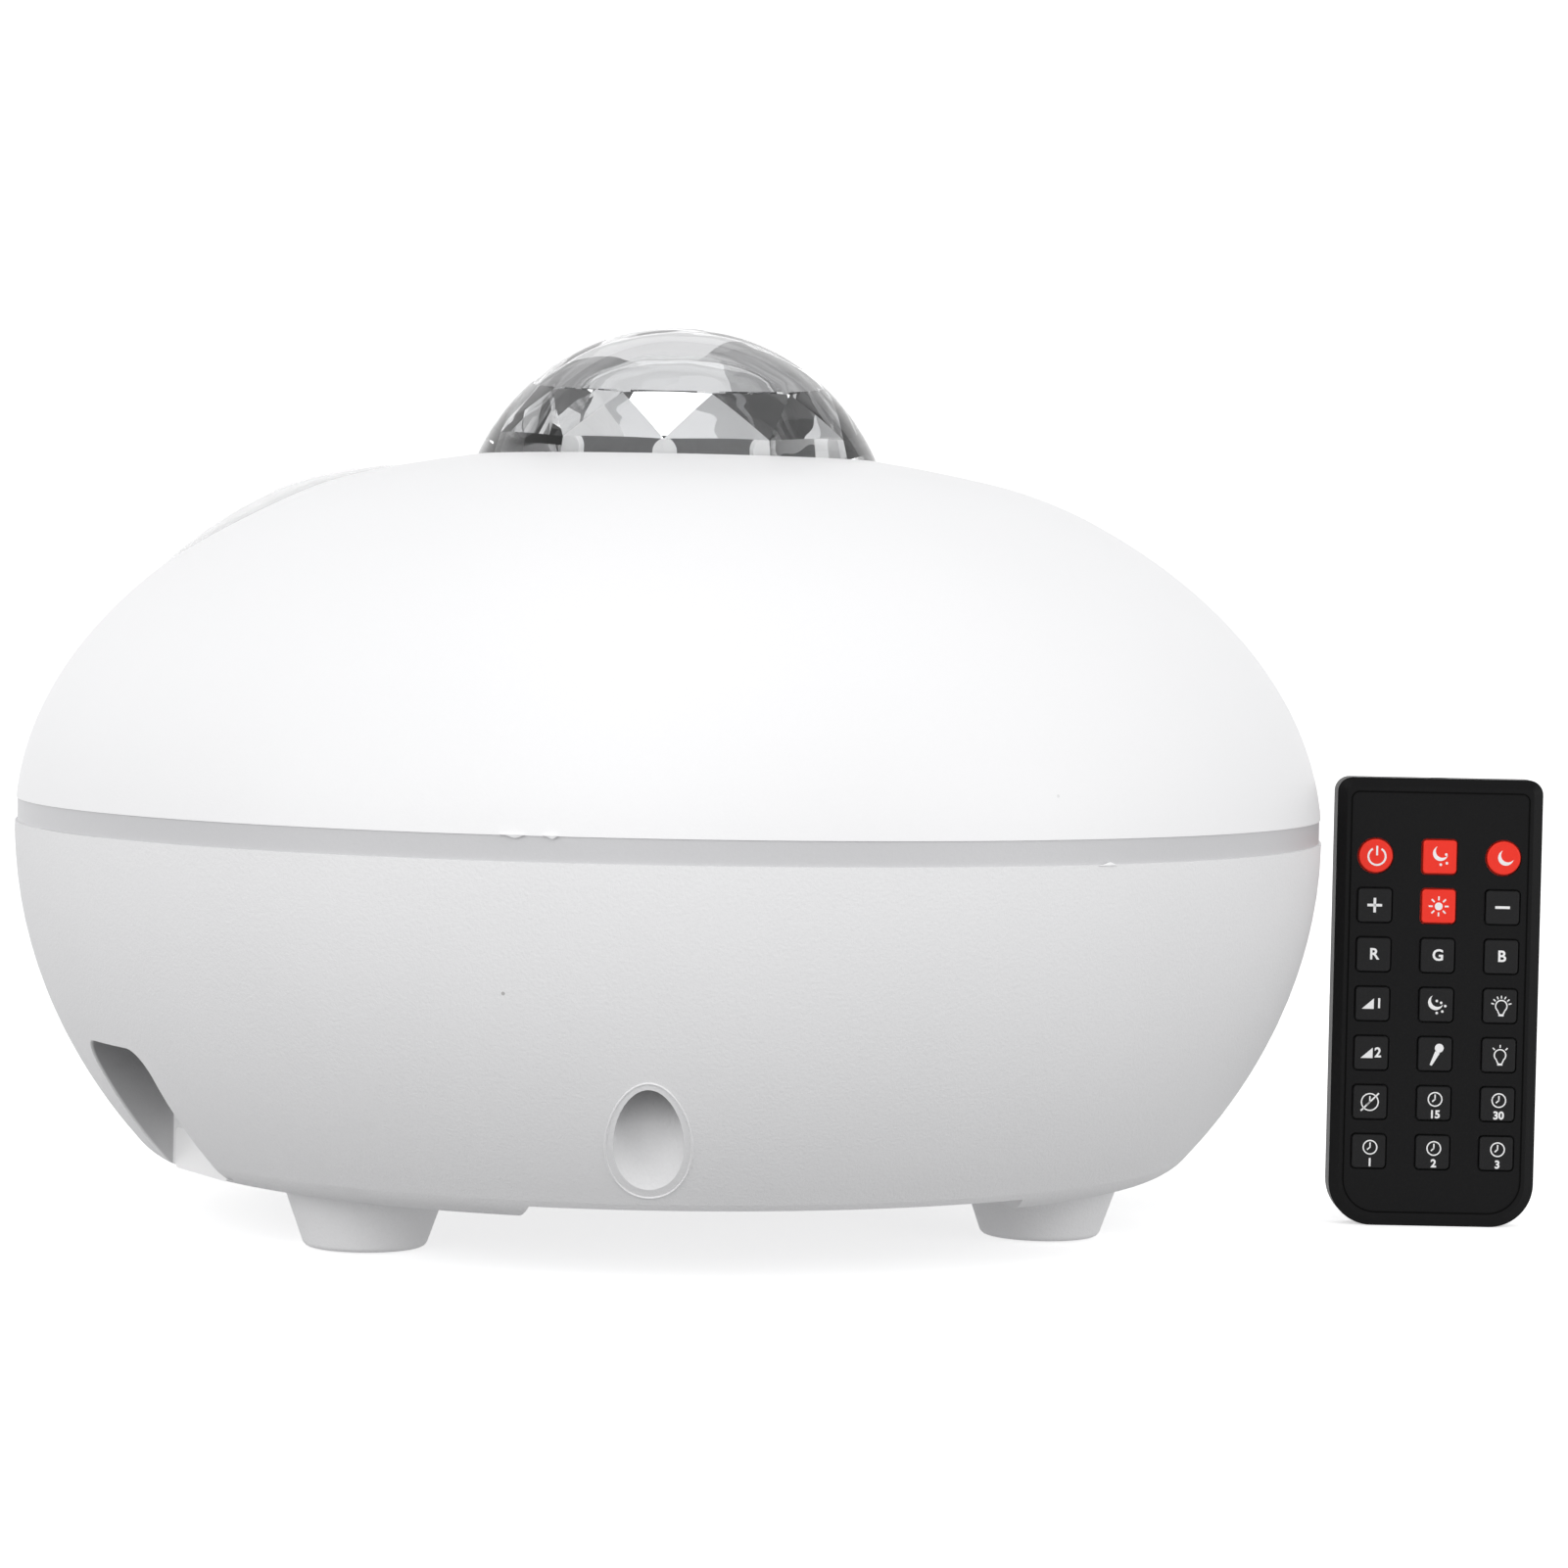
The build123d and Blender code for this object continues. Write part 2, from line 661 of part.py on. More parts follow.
with BuildPart() as lamp_screws:
    with BuildSketch(base.offset(lamp_flange_bottom)):
        with PolarLocations(lamp_screw_circle, lamp_screw_count, lamp_ear_start_angle):
            Circle(small_screw_head_radius)
    extrude(amount=-small_screw_head_height)
    with BuildSketch(base.offset(lamp_flange_bottom)):
        with PolarLocations(lamp_screw_circle, lamp_screw_count, lamp_ear_start_angle):
            Circle(small_screw_radius)
    extrude(amount=lamp_screw_length)
finish(lamp_screws, "lamp_screws")

# ---- heat sink plate, LED board, LEDs and their lenses ----
sink_radius = lamp_inner_radius - sink_gap
led_board_radius = sink_radius - led_board_inset
sink_top = lamp_floor_top + sink_thickness
led_board_top = sink_top + led_board_thickness
lens_round = led_lens_height / 2

with BuildPart() as heat_sink:
    with BuildSketch(base.offset(lamp_floor_top)):
        Circle(sink_radius)
        Circle(disc_motor_nose_radius + small_part_gap, mode=Mode.SUBTRACT)
    extrude(amount=sink_thickness)
finish(heat_sink, "heat_sink")

with BuildPart() as led_board:
    with BuildSketch(base.offset(sink_top)):
        Circle(led_board_radius)
        Circle(disc_motor_nose_radius + small_part_gap, mode=Mode.SUBTRACT)
    extrude(amount=led_board_thickness)
finish(led_board, "led_board")

with BuildPart() as led_emitters:
    with BuildSketch(base.offset(led_board_top)):
        with PolarLocations(led_circle_radius, led_count):
            Rectangle(led_size, led_size)
    extrude(amount=led_height)
finish(led_emitters, "led_emitters")

with BuildPart() as led_lenses:
    with BuildSketch(base.offset(led_board_top)):
        with PolarLocations(led_circle_radius, led_count):
            Circle(led_lens_radius)
    extrude(amount=led_lens_height)
    crowns = led_lenses.edges().group_by(Axis.Z)[-1]
    fillet(crowns, lens_round)
    with BuildSketch(base.offset(led_board_top)):
        with PolarLocations(led_circle_radius, led_count):
            Rectangle(led_size + 2 * led_lens_gap, led_size + 2 * led_lens_gap)
    extrude(amount=led_height + led_lens_gap, mode=Mode.SUBTRACT)
finish(led_lenses, "led_lenses")

# ---- ripple disc on its motor ----
motor_nose_top = led_board_top
disc_height = led_board_top + led_lens_height + disc_lens_gap
disc_radius = lamp_inner_radius - disc_side_gap
disc_hub_bottom = disc_height - disc_hub_drop
shaft_top = disc_height + disc_thickness / 2

with BuildPart() as disc_motor:
    with BuildSketch(base.offset(lamp_floor_height)):
        Circle(disc_motor_radius)
    extrude(amount=-disc_motor_length)
    with BuildSketch(base.offset(lamp_floor_height)):
        Circle(disc_motor_nose_radius)
    extrude(amount=motor_nose_top - lamp_floor_height)
    with BuildSketch(base.offset(motor_nose_top)):
        Circle(disc_shaft_radius)
    extrude(amount=shaft_top - motor_nose_top)
finish(disc_motor, "disc_motor")

with BuildPart() as ripple_disc:
    with BuildSketch(base.offset(disc_height)):
        Circle(disc_radius)
    extrude(amount=disc_thickness)
    with BuildSketch(base.offset(disc_hub_bottom)):
        Circle(disc_hub_radius)
    extrude(amount=disc_hub_drop)
    with BuildSketch(base.offset(disc_hub_bottom)):
        Circle(disc_shaft_radius + wheel_running_gap)
    extrude(amount=shaft_top - disc_hub_bottom + small_part_gap, mode=Mode.SUBTRACT)
    # shallow hollows that ripple the light
    hollow_radius = (ripple_radius**2 + ripple_depth**2) / (2 * ripple_depth)
    hollow_height = disc_height + disc_thickness + hollow_radius - ripple_depth
    for ring_radius, hollows in zip(ripple_ring_radii, ripple_ring_counts):
        for place in PolarLocations(ring_radius, hollows):
            with Locations((projector_x + place.position.X, place.position.Y, hollow_height)):
                Sphere(hollow_radius, mode=Mode.SUBTRACT)
finish(ripple_disc, "ripple_disc")

# ---- star window: bezel and lens ----
rebate_radius = window_lens_radius + window_lens_gap
lens_fit_radius = window_aperture_radius - window_lens_gap
lens_curve = (lens_fit_radius**2 + window_lens_crown**2) / (2 * window_lens_crown)

with BuildPart() as window_bezel:
    with BuildSketch(window_section) as bezel_section:
        with Locations((window_aperture_radius, -bezel_thickness)):
            Rectangle(
                bezel_radius - window_aperture_radius,
                bezel_thickness,
                align=(Align.MIN, Align.MIN),
            )
        outer_corner = bezel_section.vertices().group_by(Axis.Y)[-1].sort_by(Axis.X)[-1]
        fillet(outer_corner, bezel_edge_round)
        with Locations((window_aperture_radius, -bezel_thickness)):
            Rectangle(
                rebate_radius - window_aperture_radius,
                window_lens_thickness,
                align=(Align.MIN, Align.MIN),
                mode=Mode.SUBTRACT,
            )
    revolve(axis=window_axis)
finish(window_bezel, "window_bezel")

with BuildPart() as window_lens:
    with BuildSketch(window_section):
        with Locations((0, window_lens_crown - lens_curve)):
            Circle(lens_curve)
        with Locations((0, -bezel_thickness)):
            Rectangle(
                lens_fit_radius,
                bezel_thickness + window_lens_crown,
                align=(Align.MIN, Align.MIN),
                mode=Mode.INTERSECT,
            )
            Rectangle(window_lens_radius, window_lens_thickness, align=(Align.MIN, Align.MIN))
    revolve(axis=window_axis)
    with BuildSketch(window_section):
        with Locations((0, window_lens_crown - lens_curve)):
            Circle(lens_curve - window_lens_thickness)
        with Locations((0, -bezel_thickness)):
            Rectangle(
                lens_fit_radius - window_lens_rim,
                bezel_thickness + window_lens_crown,
                align=(Align.MIN, Align.MIN),
                mode=Mode.INTERSECT,
            )
    revolve(axis=window_axis, mode=Mode.SUBTRACT)
finish(window_lens, "window_lens")

# ---- star optics under the window ----
pitch_distance = gear_module * (wheel_teeth + pinion_teeth) / 2 + mesh_extra
plate_bottom_drop = optics_drop + optics_plate_thickness
motor_place = (
    pitch_distance * math.cos(math.radians(star_motor_angle)),
    pitch_distance * math.sin(math.radians(star_motor_angle)),
)
motor_nose_radius = star_motor_radius / 2
laser_top_drop = optics_drop - wheel_side_gap

with BuildPart() as optics_bracket:
    with BuildSketch(window_plane.offset(-plate_bottom_drop)):
        Circle(optics_plate_radius)
        with Locations((0, optics_plate_chord)):
            Rectangle(
                2 * optics_plate_radius,
                2 * optics_plate_radius,
                align=(Align.CENTER, Align.MAX),
                mode=Mode.INTERSECT,
            )
        with Locations((0, -laser_offset)):
            Circle(laser_radius + wheel_running_gap, mode=Mode.SUBTRACT)
        with Locations(motor_place):
            Circle(motor_nose_radius + small_part_gap, mode=Mode.SUBTRACT)
    extrude(amount=optics_plate_thickness)
    with BuildSketch(window_plane.offset(-optics_drop)):
        for angle in optics_post_angles:
            with PolarLocations(optics_post_circle, 1, start_angle=angle):
                Circle(optics_post_radius)
    extrude(amount=optics_drop - shelf_drop)
    with BuildSketch(window_plane.offset(-optics_drop)):
        Circle(wheel_pin_radius)
    extrude(amount=optics_drop - wheel_drop)
    with BuildSketch(window_plane.offset(-plate_bottom_drop)):
        for angle in optics_post_angles:
            with PolarLocations(optics_post_circle, 1, start_angle=angle):
                Circle(small_screw_radius + screw_clearance)
    extrude(amount=plate_bottom_drop - shelf_drop, mode=Mode.SUBTRACT)
finish(optics_bracket, "optics_bracket")

with BuildPart() as optics_screws:
    with BuildSketch(window_plane.offset(-plate_bottom_drop)):
        for angle in optics_post_angles:
            with PolarLocations(optics_post_circle, 1, start_angle=angle):
                Circle(small_screw_head_radius)
    extrude(amount=-small_screw_head_height)
    with BuildSketch(window_plane.offset(-plate_bottom_drop)):
        for angle in optics_post_angles:
            with PolarLocations(optics_post_circle, 1, start_angle=angle):
                Circle(small_screw_radius)
    extrude(amount=optics_screw_length)
finish(optics_screws, "optics_screws")


def gear_outline(teeth):
    """Flat outline of a spur gear with straight-sided teeth, one tooth on the X axis."""
    root_radius = gear_module * (teeth / 2 - tooth_root_share)
    tip_radius = gear_module * (teeth / 2 + tooth_tip_share)
    with BuildSketch() as outline:
        Circle(root_radius)
        for place in PolarLocations(0, teeth):
            with Locations(place):
                with BuildLine():
                    Polyline(
                        (root_radius - gear_module, -tooth_root_width / 2),
                        (root_radius, -tooth_root_width / 2),
                        (tip_radius, -tooth_tip_width / 2),
                        (tip_radius, tooth_tip_width / 2),
                        (root_radius, tooth_root_width / 2),
                        (root_radius - gear_module, tooth_root_width / 2),
                        close=True,
                    )
                make_face()
    return outline.sketch


wheel_turn = star_motor_angle
pinion_turn = star_motor_angle + 180 + 180 / pinion_teeth

with BuildPart() as star_wheel:
    with BuildSketch(window_plane.offset(-wheel_drop - wheel_thickness)):
        add(gear_outline(wheel_teeth), rotation=wheel_turn)
    extrude(amount=wheel_thickness)
    with BuildSketch(window_plane.offset(-optics_drop + wheel_side_gap)):
        Circle(wheel_hub_radius)
    extrude(amount=optics_drop - wheel_side_gap - wheel_drop)
    with BuildSketch(window_plane.offset(-optics_drop)):
        Circle(wheel_pin_radius + wheel_running_gap)
    extrude(amount=optics_drop - wheel_drop, mode=Mode.SUBTRACT)
finish(star_wheel, "star_wheel")

with BuildPart() as star_pinion:
    with BuildSketch(window_plane.offset(-optics_drop + wheel_side_gap)):
        with Locations(motor_place):
            add(gear_outline(pinion_teeth), rotation=pinion_turn)
            Circle(star_shaft_radius, mode=Mode.SUBTRACT)
    extrude(amount=optics_drop - wheel_side_gap - wheel_drop)
finish(star_pinion, "star_pinion")

with BuildPart() as star_motor:
    with BuildSketch(window_plane.offset(-plate_bottom_drop)):
        with Locations(motor_place):
            Circle(star_motor_radius)
    extrude(amount=-star_motor_length)
    with BuildSketch(window_plane.offset(-plate_bottom_drop)):
        with Locations(motor_place):
            Circle(motor_nose_radius)
    extrude(amount=optics_plate_thickness)
finish(star_motor, "star_motor")

with BuildPart() as laser_module:
    with BuildSketch(window_plane.offset(-laser_top_drop - laser_length)):
        with Locations((0, -laser_offset)):
            Circle(laser_radius)
    extrude(amount=laser_length)
    chamfer(laser_module.edges().filter_by(GeomType.CIRCLE), wheel_side_gap)
finish(laser_module, "laser_module")

# ---- control board and what it carries ----
out_of_niche = Axis(niche_front.origin, niche_front.z_dir)
stem_reach = shell_wall + button_flange_thickness

with BuildPart() as control_board:
    with BuildSketch(niche_plan.offset(board_height)):
        with Locations((board_middle, 0)):
            Rectangle(board_length, 2 * board_half_width)
            with GridLocations(*board_post_spans, 2, 2):
                Circle(small_screw_radius + screw_clearance, mode=Mode.SUBTRACT)
    extrude(amount=board_thickness)
finish(control_board, "control_board")

with BuildPart() as board_screws:
    with BuildSketch(niche_plan.offset(board_top)):
        with Locations((board_middle, 0)):
            with GridLocations(*board_post_spans, 2, 2):
                Circle(small_screw_head_radius)
    extrude(amount=small_screw_head_height)
    with BuildSketch(niche_plan.offset(board_top)):
        with Locations((board_middle, 0)):
            with GridLocations(*board_post_spans, 2, 2):
                Circle(small_screw_radius)
    extrude(amount=-board_screw_length)
finish(board_screws, "board_screws")

with BuildPart() as dc_socket:
    with BuildSketch(niche_front.offset(-shell_wall)):
        with Locations((socket_offset, board_top)):
            Rectangle(
                socket_width, 2 * (inlet_height - board_top), align=(Align.CENTER, Align.MIN)
            )
    extrude(amount=-(socket_depth - shell_wall))
    with BuildSketch(niche_front.offset(-shell_wall)):
        with Locations((socket_offset, inlet_height)):
            Circle(socket_collar_radius)
    extrude(amount=shell_wall - socket_setback)
    with BuildSketch(niche_front.offset(-socket_setback)):
        with Locations((socket_offset, inlet_height)):
            Circle(socket_bore_radius)
            Circle(socket_pin_radius, mode=Mode.SUBTRACT)
    extrude(amount=-socket_bore_depth, mode=Mode.SUBTRACT)
finish(dc_socket, "dc_socket")

with BuildPart() as power_button:
    with BuildSketch(niche_front.offset(-shell_wall)):
        with Locations((button_offset, inlet_height)):
            Circle(button_radius)
    extrude(amount=shell_wall + button_proud)
    fillet(power_button.faces().sort_by(out_of_niche)[-1].edges(), button_edge_round)
    with BuildSketch(niche_front.offset(-shell_wall)):
        with Locations((button_offset, inlet_height)):
            Circle(button_flange_radius)
    extrude(amount=-button_flange_thickness)
    with BuildSketch(niche_front.offset(-stem_reach)):
        with Locations((button_offset, inlet_height)):
            Circle(button_stem_radius)
    extrude(amount=-button_stem_length)
finish(power_button, "power_button")

plunger_front = stem_reach + button_stem_length + button_travel + small_part_gap

with BuildPart() as tact_switch:
    with BuildSketch(niche_front.offset(-plunger_front)):
        with Locations((button_offset, inlet_height)):
            Circle(switch_plunger_radius)
    extrude(amount=-switch_plunger_length)
    with BuildSketch(niche_front.offset(-plunger_front - switch_plunger_length)):
        with Locations((button_offset, board_top)):
            Rectangle(
                switch_width, 2 * (inlet_height - board_top), align=(Align.CENTER, Align.MIN)
            )
    extrude(amount=-switch_depth)
finish(tact_switch, "tact_switch")

with BuildPart() as ir_receiver:
    with BuildSketch(niche_plan.offset(board_top)):
        with Locations((board_middle, -board_half_width / 2)):
            Rectangle(receiver_depth, receiver_width)
    extrude(amount=receiver_height)
    fillet(ir_receiver.edges().filter_by(Axis.Z), receiver_round)
finish(ir_receiver, "ir_receiver")

with BuildPart() as microphone:
    with BuildSketch(niche_plan.offset(board_top)):
        with Locations((board_middle, board_half_width / 2)):
            Circle(microphone_radius)
    extrude(amount=microphone_height)
    fillet(microphone.edges().group_by(Axis.Z)[-1], microphone_round)
finish(microphone, "microphone")

# ---- remote control: covers ----
half_length = remote_length / 2
board_back = remote_board_depth + remote_board_thickness
tray_front = board_back + tray_gap
tray_thickness = cell_gap + cell_thickness + tray_floor
tray_back = tray_front + tray_thickness
rear_floor = tray_back + tray_gap
slot_width = tray_width + 2 * tray_gap
slot_height = rear_floor - board_back
first_row = half_length - first_row_drop
led_hole_radius = remote_led_radius + remote_led_gap
board_inset = remote_wall + remote_board_gap
key_names = (
    ("key_power", "key_moon_rays", "key_crescent"),
    ("key_faster", "key_led", "key_slower"),
    ("key_red", "key_green", "key_blue"),
    ("key_fade_1", "key_moon_stars", "key_bulb_bright"),
    ("key_fade_2", "key_sound", "key_bulb_dim"),
    ("key_no_timer", "key_15_min", "key_30_min"),
    ("key_1_hour", "key_2_hours", "key_3_hours"),
)
round_keys = ("key_power", "key_crescent")
middle_column = (len(key_names[0]) - 1) / 2
remote_top_end = Plane(
    origin=remote_face.origin + remote_face.y_dir * half_length,
    x_dir=remote_face.x_dir,
    z_dir=remote_face.y_dir,
)
remote_bottom_end = remote_top_end.offset(-remote_length)
out_of_face = Axis(remote_face.origin, remote_face.z_dir)


def remote_outline(depth, inset=0.0):
    """Outline of the remote at a depth behind its face."""
    with BuildSketch(remote_face.offset(-depth)) as outline:
        Rectangle(remote_width - 2 * inset, remote_length - 2 * inset)
        fillet(outline.vertices().group_by(Axis.Y)[-1], remote_top_round - inset)
        fillet(outline.vertices().group_by(Axis.Y)[0], remote_bottom_round - inset)
    return outline.sketch


def key_outline(depth, name, place, extra):
    """Outline of a key, grown by extra all round."""
    with BuildSketch(remote_face.offset(-depth)) as outline:
        with Locations(place):
            if name in round_keys:
                Circle(key_size / 2 + extra)
            else:
                RectangleRounded(key_size + 2 * extra, key_size + 2 * extra, key_corner + extra)
    return outline.sketch


def key_place(row, column):
    """Middle of a key on the face."""
    return ((column - middle_column) * key_pitch_across, first_row - row * key_pitch_along)


with BuildPart() as remote_front_cover:
    extrude(remote_outline(remote_bevel_depth), amount=-(remote_parting - remote_bevel_depth))
    loft([remote_outline(remote_bevel_depth), remote_outline(0, remote_bevel)])
    extrude(
        remote_outline(remote_plate, remote_wall),
        amount=-(remote_parting - remote_plate),
        mode=Mode.SUBTRACT,
    )
    for row, row_names in enumerate(key_names):
        for column, name in enumerate(row_names):
            hole = key_outline(0, name, key_place(row, column), key_gap)
            extrude(hole, amount=-remote_plate, mode=Mode.SUBTRACT)
    # slot of the battery tray, and half of the hole of the infrared LED
    with BuildSketch(remote_bottom_end):
        with Locations((0, board_back)):
            Rectangle(slot_width, slot_height, align=(Align.CENTER, Align.MIN))
    extrude(amount=remote_wall, mode=Mode.SUBTRACT)
    with BuildSketch(remote_top_end):
        with Locations((0, remote_parting)):
            Circle(led_hole_radius)
    extrude(amount=-remote_wall, mode=Mode.SUBTRACT)
finish(remote_front_cover, "remote_front_cover")

with BuildPart() as remote_rear_cover:
    extrude(remote_outline(remote_parting), amount=-(remote_depth - remote_parting))
    chamfer(remote_rear_cover.faces().sort_by(out_of_face)[0].edges(), remote_bevel_depth)
    extrude(
        remote_outline(remote_parting, remote_wall),
        amount=-(rear_floor - remote_parting),
        mode=Mode.SUBTRACT,
    )
    with BuildSketch(remote_face.offset(-rear_floor)):
        with GridLocations(*remote_post_spans, 2, 2):
            Circle(remote_post_radius)
    extrude(amount=rear_floor - board_back)
    with BuildSketch(remote_bottom_end):
        with Locations((0, board_back)):
            Rectangle(slot_width, slot_height, align=(Align.CENTER, Align.MIN))
    extrude(amount=remote_wall, mode=Mode.SUBTRACT)
    with BuildSketch(remote_top_end):
        with Locations((0, remote_parting)):
            Circle(led_hole_radius)
    extrude(amount=-remote_wall, mode=Mode.SUBTRACT)
finish(remote_rear_cover, "remote_rear_cover")

# ---- remote control: board, LED, tray and cell ----
with BuildPart() as remote_board:
    extrude(remote_outline(remote_board_depth, board_inset), amount=-remote_board_thickness)
finish(remote_board, "remote_board")

with BuildPart() as remote_ir_led:
    with BuildSketch(remote_top_end.offset(-remote_led_gap)):
        with Locations((0, remote_parting)):
            Circle(remote_led_radius)
    extrude(amount=-remote_led_length)
    fillet(remote_ir_led.edges().group_by(Axis.Z)[-1], remote_led_round)
finish(remote_ir_led, "remote_ir_led")

tray_end = -half_length + tray_recess
cell_place = (0, tray_end + cell_setback)

with BuildPart() as battery_tray:
    with BuildSketch(remote_face.offset(-tray_back)):
        with Locations((0, tray_end)):
            Rectangle(tray_width, tray_length, align=(Align.CENTER, Align.MIN))
    extrude(amount=tray_thickness)
    with BuildSketch(remote_face.offset(-tray_front)):
        with Locations(cell_place):
            Circle(cell_radius + cell_gap)
    extrude(amount=-(tray_thickness - tray_floor), mode=Mode.SUBTRACT)
finish(battery_tray, "battery_tray")

with BuildPart() as coin_cell:
    with BuildSketch(remote_face.offset(-(tray_back - tray_floor))):
        with Locations(cell_place):
            Circle(cell_radius)
    extrude(amount=cell_thickness)
    fillet(coin_cell.edges().filter_by(GeomType.CIRCLE), cell_gap)
finish(coin_cell, "coin_cell")

# ---- remote control: keys, held under the face by their flanges ----
for row, row_names in enumerate(key_names):
    for column, name in enumerate(row_names):
        place = key_place(row, column)
        with BuildPart() as key:
            extrude(key_outline(remote_plate, name, place, 0), amount=remote_plate + key_proud)
            fillet(key.faces().sort_by(out_of_face)[-1].edges(), key_edge_round)
            extrude(
                key_outline(remote_plate, name, place, key_flange), amount=-key_flange_thickness
            )
        finish(key, name)
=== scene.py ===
import math

import bmesh
import bpy
from mathutils import Matrix, Vector


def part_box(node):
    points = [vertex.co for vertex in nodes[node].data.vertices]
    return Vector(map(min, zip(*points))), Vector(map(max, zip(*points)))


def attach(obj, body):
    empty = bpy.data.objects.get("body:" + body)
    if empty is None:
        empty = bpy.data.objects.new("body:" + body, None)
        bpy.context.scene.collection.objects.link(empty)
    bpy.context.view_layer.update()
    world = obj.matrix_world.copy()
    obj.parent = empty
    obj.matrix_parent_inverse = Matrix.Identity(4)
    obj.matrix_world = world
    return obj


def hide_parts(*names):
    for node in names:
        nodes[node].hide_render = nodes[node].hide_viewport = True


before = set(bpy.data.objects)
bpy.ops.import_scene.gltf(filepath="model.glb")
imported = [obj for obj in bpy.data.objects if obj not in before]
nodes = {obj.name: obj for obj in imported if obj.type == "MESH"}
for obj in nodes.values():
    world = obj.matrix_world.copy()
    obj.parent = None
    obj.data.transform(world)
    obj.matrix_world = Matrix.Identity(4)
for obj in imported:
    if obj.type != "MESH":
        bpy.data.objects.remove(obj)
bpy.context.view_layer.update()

# ---- Table and studio ----
# A seamless sheet of white card lies under the projector and sweeps up behind it, lit by four
# soft boxes. White, black and streaked cards stand round the dome: only light that passes
# through clear plastic sees them, and they give the dome its pale and dark fields.
card_front = 1.6                # sizes and places in the studio are in metres
card_back = 1.3
card_half_width = 2.4
card_sweep = 0.5
card_height = 1.9
card_steps = 24
card_white = (0.9, 0.9, 0.9)
card_roughness = 0.8
card_glow = 0.55
behind_glow = 1.12
flag_black = (0.01, 0.01, 0.01)
flag_roughness = 0.9
streak_tilt = 0.6
streaks_per_metre = (9.0, 9.0, 60.0)
streak_greys = ((0.35, (0.07, 0.07, 0.072)), (0.68, (0.45, 0.45, 0.455)))
sky_greys = ((0.36, (0.33, 0.33, 0.335)), (0.56, (0.735, 0.735, 0.74)))


def piece_from(name, bm, material, smooth=False, sharp=math.pi, solid=True):
    """Turn a bmesh into an object at the origin.

    The faces of a solid are turned outwards, and edges bent by more than sharp stay sharp.
    """
    if solid:
        bmesh.ops.recalc_face_normals(bm, faces=bm.faces)
    for edge in bm.edges:
        if edge.calc_face_angle(0.0) > sharp:
            edge.smooth = False
    mesh = bpy.data.meshes.new(name)
    bm.to_mesh(mesh)
    bm.free()
    mesh.materials.append(material)
    if smooth:
        for face in mesh.polygons:
            face.use_smooth = True
    piece = bpy.data.objects.new(name, mesh)
    bpy.context.scene.collection.objects.link(piece)
    return piece


def fill(tree, node, values):
    """Give a node's inputs plain values, or link them to the outputs of other nodes."""
    for socket, value in values.items():
        if isinstance(value, bpy.types.NodeSocket):
            tree.links.new(value, node.inputs[socket])
        else:
            node.inputs[socket].default_value = value


def node_of(tree, kind, values=None, **settings):
    """A node of a tree, with its settings and its inputs."""
    node = tree.nodes.new(kind)
    for setting, value in settings.items():
        setattr(node, setting, value)
    fill(tree, node, values or {})
    return node


def new_material(name, colour, roughness, metallic=0.0):
    """A plain material and its shader."""
    material = bpy.data.materials.new(name)
    material.use_nodes = True
    shader = material.node_tree.nodes["Principled BSDF"]
    fill(material.node_tree, shader, {
        "Base Color": (*colour, 1.0), "Roughness": roughness, "Metallic": metallic,
    })
    return material, shader


def glowing_card(name, glow):
    """White card that gives off a little light of its own."""
    material, shader = new_material(name, card_white, card_roughness)
    fill(material.node_tree, shader, {
        "Emission Color": (1.0, 1.0, 1.0, 1.0), "Emission Strength": glow,
    })
    return material


def grey_ramp(tree, source, greys):
    """A ramp between two greys, each given as (value of the source, colour)."""
    ramp = node_of(tree, "ShaderNodeValToRGB", {"Fac": source})
    for element, (position, colour) in zip(ramp.color_ramp.elements, greys):
        element.position = position
        element.color = (*colour, 1.0)
    return ramp.outputs["Color"]


def board(name, low, high, material):
    """A flat sheet between two opposite corners."""
    first, second = [axis for axis in range(3) if low[axis] != high[axis]]
    corners = [list(low) for corner in range(4)]
    for number in (1, 2):
        corners[number][first] = high[first]
    for number in (2, 3):
        corners[number][second] = high[second]
    bm = bmesh.new()
    bm.faces.new([bm.verts.new(corner) for corner in corners])
    return piece_from(name, bm, material, solid=False)


bm = bmesh.new()
path = [(-card_front, 0.0), (card_back, 0.0)]
for step in range(1, card_steps + 1):
    angle = math.pi / 2 * step / card_steps
    path.append((card_back + card_sweep * math.sin(angle), card_sweep * (1 - math.cos(angle))))
path.append((card_back + card_sweep, card_height))
rows = [[bm.verts.new((x, y, z)) for x in (-card_half_width, card_half_width)] for y, z in path]
for low, high in zip(rows, rows[1:]):
    bm.faces.new((low[0], low[1], high[1], high[0]))
white_card = glowing_card("white_card", card_glow)
table_card = piece_from("table_card", bm, white_card, smooth=True, solid=False)
table_card.visible_diffuse = False
table_card.visible_transmission = False

